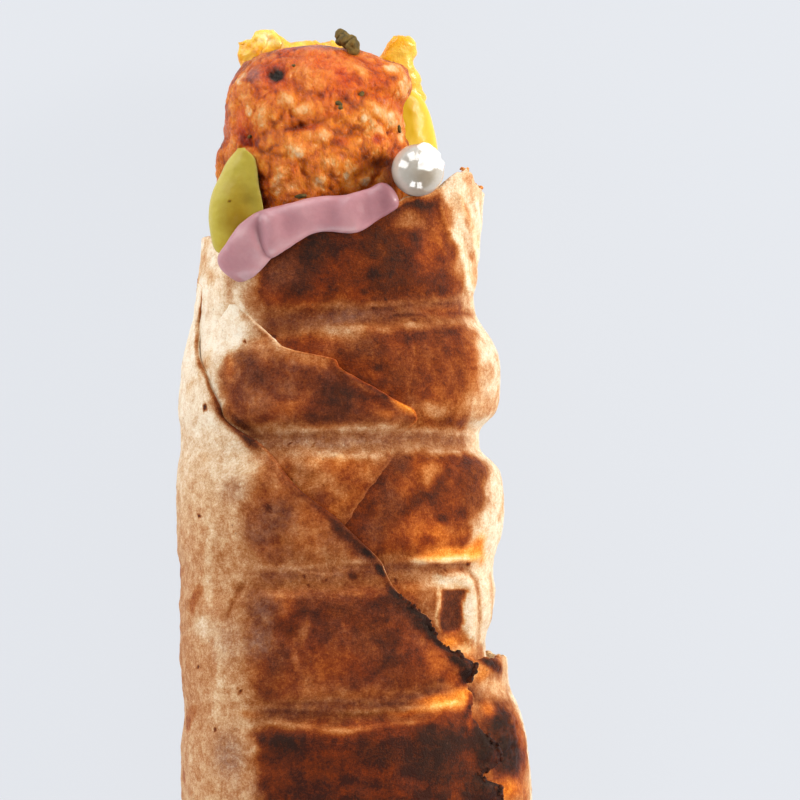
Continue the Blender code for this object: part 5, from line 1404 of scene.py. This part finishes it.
MEAT_RED_RAMP = [(0.0, (0.92, 0.54, 0.32)), (0.18, (0.86, 0.28, 0.07)), (0.40, (0.76, 0.120, 0.010)),
                 (0.60, (0.54, 0.036, 0.004)), (0.8, (0.24, 0.010, 0.004)),
                 (1.0, (0.02, 0.005, 0.004))]


def meat_material():
    made, shader, add, join = node_maker("grilled_meat")
    place = add("ShaderNodeTexCoord").outputs["Object"]
    cook = add("ShaderNodeAttribute", attribute_name="cook").outputs["Color"]
    parts = add("ShaderNodeSeparateColor", {0: cook}).outputs
    soft = noise(add, place, 1.5, 6.0, 0.65, 0.4)
    fibre = noise(add, add("ShaderNodeMapping", {"Vector": place, "Scale": (1.0, 0.45, 1.0),
                                                 "Rotation": (0, 0, 0.5)}).outputs[0], 0.5, 4.0, 0.7)
    tone = sums(add, (parts[0], 1.0), (soft, 0.60), (fibre, 0.60), -0.63)
    base = mixed(add, parts[1], ramp(add, tone, MEAT_RAMP), ramp(add, tone, MEAT_RED_RAMP))
    base = mixed(add, times(add, parts[2], sums(add, (soft, 1.4), 0.0)), base,
                 (0.30, 0.13, 0.14, 1))
    join(base, shader.inputs["Base Color"])
    join(sums(add, (fibre, 1.0), (soft, 0.4), -0.42), shader.inputs["Roughness"])
    bumped(add, join, shader, sums(add, (soft, 0.5), (fibre, 0.7)), 1.1)
    shader.inputs["Specular IOR Level"].default_value = 0.42
    shader.inputs["Specular Tint"].default_value = (1.0, 0.85, 0.68, 1)
    shader.inputs["Coat Weight"].default_value = 0.06
    shader.inputs["Coat Roughness"].default_value = 0.12
    shader.inputs["Subsurface Weight"].default_value = 0.12
    shader.inputs["Subsurface Radius"].default_value = (1.0, 0.3, 0.1)
    shader.inputs["Subsurface Scale"].default_value = 2.2 * MM
    return made


def chicken():
    """The grilled chicken: packed round inside the roll, loose and lumpy outside the mouth."""
    y = np.concatenate([[-98, -90], np.arange(-80, 50, 10), np.arange(50, 66, 0.8),
                        np.arange(66, 103, 0.34), 105.9 - 2.9 * np.linspace(1, 0, 16) ** 1.6])
    turn = 2 * math.pi * np.arange(360) / 360
    yy = y[:, None] + 0 * turn
    left = through(CHICKEN_LEFT, yy)
    right = through(CHICKEN_RIGHT, yy)
    z0 = through([(r[0], r[1]) for r in CHICKEN_HEIGHT], yy)
    high = through([(r[0], r[2]) for r in CHICKEN_HEIGHT], yy)
    across = np.sign(np.cos(turn)) * np.abs(np.cos(turn)) ** 0.86
    up = np.sign(np.sin(turn)) * np.abs(np.sin(turn)) ** 0.86
    packed = skin(yy, turn + 0 * yy, CORE_INSET - SLACK, CORE_FLOOR + SLACK)
    loose = ease((yy - CORE_BLEND[0]) / (CORE_BLEND[1] - CORE_BLEND[0]))
    x = (left + right) / 2 + (right - left) / 2 * across
    rings = np.stack([packed[..., 0] + (x - packed[..., 0]) * loose, yy,
                      packed[..., 2] + (z0 + high * up - packed[..., 2]) * loose], -1)
    points = rings.reshape(-1, 3)
    normal = outward(rings).reshape(-1, 3)
    wander = np.stack([cloudy(points, 3.0, 2, s) for s in (101, 103, 105)], 1)
    bent = points + 0.9 * wander
    big = folds(points, 6.0, 111)
    small = folds(bent, 2.6, 121)
    shreds = folds(bent * np.array([1.0, 0.55, 1.0]), 1.5, 151)
    facing = ease(normal[:, 2] / 0.3)
    rise = 0.55 * (big - 0.7) + 0.34 * (small - 0.7) + 0.7 * cloudy(points, 9, 2, 131)
    rise += 0.30 * cloudy(points * np.array([1.0, 0.6, 1.0]), 2.0, 3, 133)
    rise += 0.22 * cloudy(points * np.array([1.0, 0.5, 1.0]), 1.1, 2, 135)
    rise += 0.26 * (shreds - 0.7)
    for row in MEAT_LUMPS:
        rise += facing * row[5] * np.exp(-oval(bent[:, 0], bent[:, 1], row))
    rise -= 2.6 * facing * np.exp(-oval(points[:, 0], points[:, 1], PICKLE_BED) ** 2)
    rise = rise * loose.ravel() * np.clip((105.9 - points[:, 1]) / 2.0, 0.15, 1)
    moved = points + normal * rise[:, None]
    tone = 0.52 - 0.26 * (big - 0.7) - 0.22 * (small - 0.7) + 0.16 * cloudy(points, 4, 3, 141)
    tone -= 0.24 * ease((patchy(bent, 2.6, 145) - 0.25) / 0.4)
    tone -= 0.26 * (shreds - 0.7)
    tone += 0.16 * ease((0.55 - normal[:, 2]) / 0.5)
    high_up = ease((points[:, 1] - 88) / 12)
    red = np.clip(0.05 + 0.25 * high_up + 0.7 * cloudy(points, 5, 2, 143), 0, 1)
    paint = np.stack([tone, red, 0 * red], 1)
    blend_spots(paint, *(points + 0.4 * wander)[:, :2].T, MEAT_STAINS, facing)
    return ring_piece("chicken_meat", moved.reshape(rings.shape), meat_material(),
                      "chicken_filling", paint)


# ---------------------------------------------------------------- pickle, pepper, potato

def gel_material(name, stops, size, rough, bump, scatter, radius, coat=0.0):
    """Moist vegetable: a colour ramp over the painted tone and noise, gloss and scattering."""
    made, shader, add, join = node_maker(name)
    place = add("ShaderNodeTexCoord").outputs["Object"]
    cook = add("ShaderNodeAttribute", attribute_name="cook").outputs["Color"]
    tone = add("ShaderNodeSeparateColor", {0: cook}).outputs[0]
    soft = noise(add, place, size, 4.0)
    fine = noise(add, place, size * 0.22, 3.0, 0.65)
    value = sums(add, (tone, 1.0), (soft, 0.22), (fine, 0.12), -0.17)
    join(ramp(add, value, stops), shader.inputs["Base Color"])
    join(sums(add, (fine, 0.22), rough - 0.1), shader.inputs["Roughness"])
    bumped(add, join, shader, sums(add, (soft, 0.6), (fine, 0.4)), bump)
    shader.inputs["Subsurface Weight"].default_value = scatter
    shader.inputs["Subsurface Radius"].default_value = radius
    shader.inputs["Subsurface Scale"].default_value = 2.5 * MM
    shader.inputs["Specular IOR Level"].default_value = 0.25
    shader.inputs["Coat Weight"].default_value = coat
    shader.inputs["Coat Roughness"].default_value = 0.12
    return made


def plate(name, rows, left, right, middle_z, thick, ragged, material, node, tint,
          columns=70, lean=0.0):
    """A flat piece between two outlines, (y, x) each, rounded all round, with uneven faces."""
    y = np.asarray(rows, float)
    s = np.linspace(0, 1, columns)
    yy = y[:, None] + 0 * s
    t = (yy - y[0]) / (y[-1] - y[0])
    x = through(left, yy) + (through(right, yy) - through(left, yy)) * (1 - np.cos(math.pi * s)) / 2
    width = np.sin(math.pi * s) ** 0.7
    ends = np.sqrt(np.clip(1 - np.abs(2 * t - 1) ** 14, 0, 1))
    half = thick * (0.10 + 0.90 * width * ends)
    z = middle_z(s + 0 * t, t)
    flat = np.stack([x, yy, z], -1).reshape(-1, 3)
    rim = (1 - np.sin(math.pi * s) + 0 * t).ravel()
    push = np.stack([cloudy(flat, ragged[0], 3, k) for k in (151, 153)], 1) * ragged[1]
    ups = 0.55 * thick * 0.5 * cloudy(flat, 4, 3, 155)
    faces = []
    for side in (1, -1):
        points = flat.copy()
        points[:, 0] += push[:, 0] * (0.4 + 0.6 * rim)
        points[:, 1] += push[:, 1] * (0.2 + 0.8 * np.abs(2 * t.ravel() - 1) ** 4)
        points[:, 2] += side * half.ravel() + ups
        faces.append(points)
    points = np.concatenate(faces)
    paint = tint(points, np.concatenate([rim, rim]), np.concatenate([t.ravel(), t.ravel()]))
    return add_piece(name, points, slab_quads(len(y), columns), material, node,
                     paint=np.stack([paint, 0 * paint, 0 * paint], 1))


def pickle():
    stops = [(0.0, (0.60, 0.52, 0.16)), (0.3, (0.46, 0.37, 0.05)), (0.55, (0.34, 0.21, 0.010)),
             (0.8, (0.22, 0.11, 0.004)), (1.0, (0.06, 0.035, 0.005))]
    made = gel_material("pickled_gherkin", stops, 5.0, 0.42, 0.15, 0.12, (0.8, 0.6, 0.1), 0.0)
    left = [(57, -28.0), (62, -28.6), (66, -29.6), (72, -30.0), (75.6, -29.2), (79, -27.6),
            (82.4, -25.6), (83.8, -24.2)]
    right = [(57, -19), (62, -18.5), (67, -18.4), (72, -18.7), (77.7, -19.6), (80.6, -20.0),
             (82.8, -21.0), (83.8, -22.4)]

    def middle_z(s, t):
        return 37.9 + 2.6 * s - 3.2 * (1 - t) - 2.4 * (1 - s) ** 3

    def tint(points, rim, t):
        x, y = points[:, 0], points[:, 1]
        middle = np.exp(-(((x + 23.0) / 3.6) ** 2 + ((y - 69) / 8) ** 2))
        tone = 0.30 + 0.26 * middle + 0.10 * (1 - t) - 0.16 * rim + 0.10 * cloudy(points, 6, 2, 161)
        tone += 0.6 * np.exp(-oval(x, y, (-25.6, 73.5, 0.35, 0.3, 0)) ** 2)
        return tone

    plate("pickle", np.linspace(57, 84.1, 70), left, right, middle_z, 1.9, (9, 0.35), made,
          "pickle_slice", tint)


def pepper():
    stops = [(0.0, (0.80, 0.62, 0.22)), (0.25, (0.72, 0.50, 0.045)), (0.5, (0.66, 0.42, 0.006)),
             (0.8, (0.58, 0.28, 0.004)), (1.0, (0.4, 0.15, 0.008))]
    made = gel_material("yellow_pepper_flesh", stops, 6.0, 0.45, 0.12, 0.2, (1.0, 0.7, 0.1), 0.1)
    left = [(66, 8.0), (80, 8.2), (90, 8.4), (94, 8.6), (97.2, 10.0)]
    right = [(66, 16.4), (80, 17.0), (85.9, 16.6), (89.5, 15.8), (92.6, 14.8), (95.3, 13.2),
             (97.2, 10.8)]

    def middle_z(s, t):
        return 31.5 - (5 * s + 4 * s * s) * (1 - 0.75 * t ** 2) - 4 * t

    def tint(points, rim, t):
        edge = np.clip((points[:, 0] - through(right, points[:, 1]) + 1.4) / 1.4, 0, 1)
        return 0.5 - 0.34 * edge + 0.08 * cloudy(points, 4, 2, 163)

    plate("pepper_strip", np.linspace(66, 97.2, 80), left, right, middle_z, 1.6, (9, 0.2), made,
          "yellow_pepper", tint, columns=50)


POTATO_STOPS = [(0.0, (0.92, 0.78, 0.42)), (0.25, (0.86, 0.58, 0.09)), (0.5, (0.80, 0.39, 0.012)),
                (0.75, (0.66, 0.20, 0.006)), (1.0, (0.36, 0.07, 0.006))]


def potatoes():
    made = gel_material("fried_potato_flesh", POTATO_STOPS, 2.6, 0.3, 0.5, 0.35, (1.0, 0.6, 0.12),
                        0.35)
    columns = 150
    s = np.linspace(0, 1, columns)
    t = np.concatenate([np.linspace(0, 0.75, 24)[:-1], np.linspace(0.75, 1, 60)])[:, None]
    x = -24.6 + 22.6 * s
    top_line = [(-24.6, 106.8), (-23, 107.4), (-21.8, 107.8), (-21.0, 109.0), (-20, 109.6),
                (-17.2, 109.6), (-16.2, 108.4), (-14.8, 107.4), (-13.6, 106.8), (-11.6, 107.3),
                (-8.4, 107.5), (-7.4, 106.6), (-5.2, 107.2), (-2.0, 106.0)]
    crest = np.interp(x, [p[0] for p in top_line], [p[1] for p in top_line])
    crest = np.minimum(crest + 0.5 * cloudy(np.stack([x, 0 * x, 0 * x], 1), 1.4, 3, 171), 109.6)
    y = 63 + (crest - 63) * t
    x = x + 3.4 * (1 - t) * (0.5 - s)
    z = 10.4 + 1.6 * s + 6.5 * t ** 2 - 1.2 * np.sin(6 * t)
    edge = (1 - (2 * s - 1) ** 8) * np.clip(1 - t ** 26, 0, 1) * np.clip(1 - (1 - t) ** 26, 0, 1)
    half = 0.25 + 3.0 * np.sqrt(np.maximum(edge, 0)) * (1 - 0.35 * t ** 6)
    flat = np.stack([x, y, z + 0 * y], -1).reshape(-1, 3)
    bumps = 0.9 * cloudy(flat, 3.2, 3, 173) + 0.7 * folds(flat, 2.6, 175) - 0.4
    shift = 0.9 * cloudy(flat, 2.0, 2, 177) * ((np.abs(2 * s - 1) ** 6) + 0 * t).ravel()
    top = flat + np.stack([shift, 0 * shift, half.ravel() + bumps], 1)
    low = flat + np.stack([shift, 0 * shift, -half.ravel() + 0.4 * bumps], 1)
    points = np.concatenate([top, low])
    near_top = np.clip((np.tile(y.ravel(), 2) - 104) / 5, 0, 1)
    tone = 0.50 - 0.30 * near_top + 0.36 * cloudy(points, 2.4, 3, 179)
    tone += 0.15 * np.exp(-((points[:, 0] + 8) / 4) ** 2)
    add_piece("potato_left", points, slab_quads(len(t), columns), made, "fried_potato_left",
              paint=np.stack([tone, 0 * tone, 0 * tone], 1))
    left = [(62, 2.4), (80, 4.0), (97, 4.2), (101, 4.0), (103.4, 4.5), (104.6, 5.4), (106.6, 6.6),
            (108.2, 8.0)]
    right = [(62, 11), (80, 12.4), (92, 13.2), (94.6, 14.2), (95.6, 14.5), (97.3, 13.9),
             (99.4, 13.0), (102.4, 12.3), (105.6, 12.5), (107.4, 11.8), (108.2, 10.6)]

    def middle_z(s, t):
        return 13.5 + 6.5 * t ** 1.5 - 1.5 * s

    def tint(points, rim, t):
        tone = 0.44 + 0.34 * cloudy(points, 3.0, 3, 181) - 0.25 * rim
        return tone + 0.28 * np.exp(-((points[:, 0] - 5.0) / 2.0) ** 2)

    plate("potato_right", np.linspace(62, 108.2, 130), left, right, middle_z, 2.9, (2.2, 0.95),
          made, "fried_potato_right", tint)


# ---------------------------------------------------------------- sauces

def sauce_material(name, colour, deep, pale, rough, coat, radius, coat_ior=1.5):
    made, shader, add, join = node_maker(name)
    place = add("ShaderNodeTexCoord").outputs["Object"]
    soft = noise(add, place, 5.0, 2.0)
    fine = noise(add, place, 0.7, 3.0, 0.6)
    cook = add("ShaderNodeAttribute", attribute_name="cook").outputs["Color"]
    tone = add("ShaderNodeSeparateColor", {0: cook}).outputs[0]
    value = sums(add, (tone, 1.0), (soft, 0.3), (fine, 0.14), -0.22)
    join(ramp(add, value, [(0.1, deep), (0.5, colour), (0.9, pale)]), shader.inputs["Base Color"])
    join(sums(add, (fine, 0.12), rough - 0.05), shader.inputs["Roughness"])
    bumped(add, join, shader, sums(add, (soft, 0.5), (fine, 0.5)), 0.07)
    shader.inputs["Coat Weight"].default_value = coat
    shader.inputs["Coat Roughness"].default_value = 0.03
    shader.inputs["Coat IOR"].default_value = coat_ior
    shader.inputs["Subsurface Weight"].default_value = 0.3
    shader.inputs["Subsurface Radius"].default_value = radius
    shader.inputs["Subsurface Scale"].default_value = 2.0 * MM
    return made


def pink_sauce():
    """The pink line along the front rim: a wide first lobe, a crease, then the long stroke."""
    path = [(-24.9, 57.6, 41.0), (-23.0, 60.6, 42.5), (-19.8, 65.4, 44.4), (-14.9, 68.0, 45.6),
            (-8.0, 70.3, 46.1), (-1.0, 70.9, 46.2), (4.2, 72.9, 45.5), (7.9, 75.2, 44.6)]
    widths = [4.3, 4.9, 4.8, 4.2, 3.5, 3.8, 3.4, 3.2]
    heights = [2.0, 2.3, 2.4, 2.2, 2.1, 2.2, 2.2, 2.2]
    steps = 210
    around = 72
    at = np.arange(len(path), dtype=float)
    t = np.linspace(0, len(path) - 1, steps)
    line = np.stack([through(list(zip(at, [p[i] for p in path])), t) for i in range(3)], 1)
    wide = through(list(zip(at, widths)), t)
    high = through(list(zip(at, heights)), t)
    along = np.gradient(line, axis=0)
    along /= np.linalg.norm(along, axis=1)[:, None]
    run = np.concatenate([[0], np.cumsum(np.linalg.norm(np.diff(line, axis=0), axis=1))])
    side = np.cross(along, (0.0, 0.0, 1.0))
    side /= np.linalg.norm(side, axis=1)[:, None]
    top = np.cross(side, along)
    end = np.minimum(run / 3.4, (run[-1] - run) / 2.6)
    rounding = np.sqrt(np.clip(1 - (1 - np.clip(end, 0.0, 1)) ** 2.8, 0.0004, 1))
    turn = 2 * math.pi * np.arange(around) / around
    c = np.sign(np.cos(turn)) * np.abs(np.cos(turn)) ** 0.85
    u = np.sign(np.sin(turn)) * np.abs(np.sin(turn)) ** 0.85
    wavy = 1 + 0.07 * patchy(np.stack([run, 0 * run, 0 * run], 1), 4.5, 191)
    rings = (line[:, None] + (wide * rounding * wavy)[:, None, None] * c[None, :, None]
             * side[:, None] + (high * rounding)[:, None, None] * u[None, :, None] * top[:, None])
    leaning = run[:, None] + 1.8 * c[None, :]
    crease = np.exp(-((leaning - 11.4) / 1.1) ** 2) - 0.5 * np.exp(-((leaning - 14.0) / 1.6) ** 2)
    crease += 0.45 * np.exp(-((leaning - 26.0) / 2.0) ** 2)
    crease += 0.35 * np.exp(-((leaning - 33.0) / 1.6) ** 2)
    rings[..., 2] -= 0.75 * crease * np.clip(u, 0, 1)
    points = rings.reshape(-1, 3)
    swell = (0.50 * cloudy(points, 6.5, 2, 193) + 0.12 * cloudy(points, 2.2, 2, 195)
             ).reshape(rings.shape[:2])
    rings = rings + (swell * rounding[:, None])[..., None] * outward(rings)
    # Painted light and shade: paler on the swells, darker in the creases and towards the right end beside the
    # drop, and on the -Y side paler above and darker beneath.
    tone = 0.5 + 0.5 * swell - 0.25 * np.clip(crease, 0, 1) - 0.30 * ease((leaning - 33) / 5)
    tone = tone + 0.25 * np.clip(c, 0, 1) ** 3 * u
    paint = np.stack([tone, 0 * tone, 0 * tone], -1)
    made = sauce_material("pink_sauce_cream", (0.43, 0.20, 0.225), (0.25, 0.10, 0.12),
                          (0.58, 0.33, 0.34), 0.42, 0.12, (1.0, 0.5, 0.45))
    ring_piece("pink_line", rings, made, "pink_sauce", paint)


DROP_CENTRE = np.array([12.6, 79.6, 43.0])
DROP_RADIUS = 5.35


def white_drop():
    """A glossy, nearly round drop of white sauce with a lumpy white cap towards +X and +Y."""
    polar = math.pi * (np.arange(1, 60) / 60)[:, None]
    turn = (2 * math.pi * np.arange(100) / 100)[None, :]
    x = DROP_RADIUS * np.sin(polar) * np.cos(turn)
    y = DROP_RADIUS * np.sin(polar) * np.sin(turn)
    z = DROP_RADIUS * np.cos(polar) + 0 * turn
    body = np.stack([x, y, z], -1)
    lumps = cloudy(body.reshape(-1, 3), 2.4, 3, 197).reshape(x.shape)
    white = ease((x + 0.1 + 1.6 * lumps) / 0.6) * ease((y - 0.5 + 1.6 * lumps) / 0.6) * ease(z + 3)
    thick = ease((x + 0.4) / 1.6) * ease((y - 0.2) / 1.6) * ease((z + 3) / 2) * (0.6 + 1.5 * lumps)
    rings = body * (1 + 0.13 * thick[..., None]) + DROP_CENTRE
    # Darker beige towards the lower right: painted shade.
    beige = np.exp(-(((x - 1.4) / 2.6) ** 2 + ((y + 1.6) / 2.8) ** 2))
    tone = 0.46 + 0.7 * white - 0.40 * beige
    paint = np.stack([tone, 0 * tone, 0 * tone], -1)
    made = sauce_material("white_sauce_cream", (0.50, 0.465, 0.41), (0.30, 0.25, 0.19),
                          (0.95, 0.94, 0.90), 0.15, 1.0, (1.0, 0.85, 0.7), 1.7)
    ring_piece("white_drop", rings[::-1], made, "white_sauce_drop", paint[::-1])


# Small bits: centre x, y, z, half sizes, turn in degrees.
HERBS = [(-2.9, 107.6, 31.2, 1.6, 1.5, 1.3, -30), (-1.7, 106.4, 32.6, 1.9, 1.5, 1.5, -40),
         (-0.5, 105.0, 33.6, 1.6, 1.3, 1.3, -60), (-3.3, 106.2, 31.6, 1.0, 0.9, 1.0, 0)]
GREENS = [(-3.5, 93.1, 1.0, 0.6, -35), (-3.0, 92.3, 0.5, 0.5, 0), (1.2, 95.1, 0.9, 0.5, 40),
          (-20.0, 78.7, 0.9, 0.6, 30), (-11.2, 74.4, 1.1, 0.5, 10), (8.8, 88.4, 0.4, 0.9, 15),
          (-12.6, 101.0, 0.4, 0.3, 0), (-21.4, 86.6, 0.6, 0.4, 30)]
# Crumbs on the rim: angle in degrees, mm beyond the rim, half sizes, turn in degrees.
CRUMBS = [(33, 0.1, 0.55, 0.35, 0.4, 20), (29, 0.2, 0.7, 0.4, 0.4, 70), (24, 0.1, 0.45, 0.3, 0.4, -30),
          (19, 0.0, 0.5, 0.4, 0.4, 50), (9, 0.35, 0.75, 0.6, 0.6, 35), (13, 0.0, 0.4, 0.3, 0.3, 0)]


def bits(meat):
    stops = [(0.1, (0.50, 0.30, 0.07)), (0.42, (0.20, 0.12, 0.022)), (0.6, (0.06, 0.042, 0.010)),
             (0.85, (0.010, 0.008, 0.005))]
    made = gel_material("green_herb", stops, 0.8, 0.6, 0.3, 0.05, (0.5, 0.6, 0.1))
    nuggets("herb_sprig", HERBS, made, "chicken_filling", 0.55, (0.5, 0, 0))
    rows = [(x, y, top_of(meat, x, y) - 0.05, rx, ry, 0.45, turn) for x, y, rx, ry, turn in GREENS]
    nuggets("herb_flecks", rows, made, "chicken_filling", 0.4, (0.55, 0, 0))
    rows = []
    for degrees, beyond, *sizes in CRUMBS:
        angle = np.array([math.radians(degrees)])
        rows.append((*skin(rim_y(angle) + beyond, angle, np.array([-0.6]))[0], *sizes))
    nuggets("bread_crumbs", rows, bread, "flatbread", 1.0, (0.36, 0.5, 0))


bits(chicken())
pickle()
pepper()
potatoes()
pink_sauce()
white_drop()

# ---------------------------------------------------------------- stage

VIEW_CENTRE = np.array([9.0, 33.1])
CAMERA_HEIGHT = 1300.0
FRAME_WIDTH = 164.0
FRAME_PLANE = 27.0


def area_light(name, place, aim, size, power, colour, shape="RECTANGLE"):
    data = bpy.data.lights.new(name, "AREA")
    data.shape = shape
    data.size, data.size_y = (s * MM for s in size)
    data.energy = power
    data.color = colour
    lamp = bpy.data.objects.new(name, data)
    bpy.context.scene.collection.objects.link(lamp)
    lamp.location = Vector((np.array(place) - BOX_CENTRE) * MM)
    away = lamp.location - Vector((np.array(aim) - BOX_CENTRE) * MM)
    lamp.rotation_euler = away.to_track_quat("Z", "Y").to_euler()
    return lamp


def make_camera():
    data = bpy.data.cameras.new("camera")
    data.sensor_width = 36.0
    data.lens = 36.0 * (CAMERA_HEIGHT - FRAME_PLANE) / FRAME_WIDTH
    data.clip_start = 0.05
    data.clip_end = 20
    camera = bpy.data.objects.new("camera", data)
    bpy.context.scene.collection.objects.link(camera)
    spot = np.array([*VIEW_CENTRE, CAMERA_HEIGHT])
    camera.location = Vector((spot - BOX_CENTRE) * MM)
    bpy.context.scene.camera = camera


def make_floor():
    bpy.ops.mesh.primitive_plane_add(size=6, location=(0, 0, -0.0004))
    floor = bpy.context.object
    floor.name = "floor"
    made, shader, add, join = node_maker("pale_floor")
    tone = noise(add, add("ShaderNodeTexCoord").outputs["Object"], 900, 2)
    join(ramp(add, tone, [(0.3, (0.05, 0.052, 0.056)), (0.7, (0.056, 0.058, 0.062))]),
         shader.inputs["Base Color"])
    shader.inputs["Roughness"].default_value = 1
    shader.inputs["Specular IOR Level"].default_value = 0
    shader.inputs["Emission Color"].default_value = (0.775, 0.80, 0.845, 1)
    shader.inputs["Emission Strength"].default_value = 0.93
    floor.data.materials.append(made)


def make_world():
    world = bpy.data.worlds.new("studio")
    world.use_nodes = True
    back = world.node_tree.nodes["Background"]
    back.inputs["Color"].default_value = (0.97, 0.98, 1.0, 1)
    back.inputs["Strength"].default_value = 0.2
    bpy.context.scene.world = world


make_camera()
make_floor()
make_world()
MID = (0, 20, 25)
area_light("rim_light", (560, 240, 280), MID, (200, 300), 5.6, (1.0, 0.965, 0.90))
area_light("window_left", (-500, 290, 200), MID, (250, 560), 2.4, (1.0, 0.99, 0.97))
area_light("window_back", (-190, 540, 230), MID, (240, 440), 1.7, (1, 1, 1))
area_light("window_front", (-200, -520, 230), MID, (200, 400), 1.7, (1, 1, 1))
area_light("window_right", (80, -550, 230), MID, (200, 400), 1.5, (1, 1, 1))
bpy.context.scene.view_settings.view_transform = "Standard"
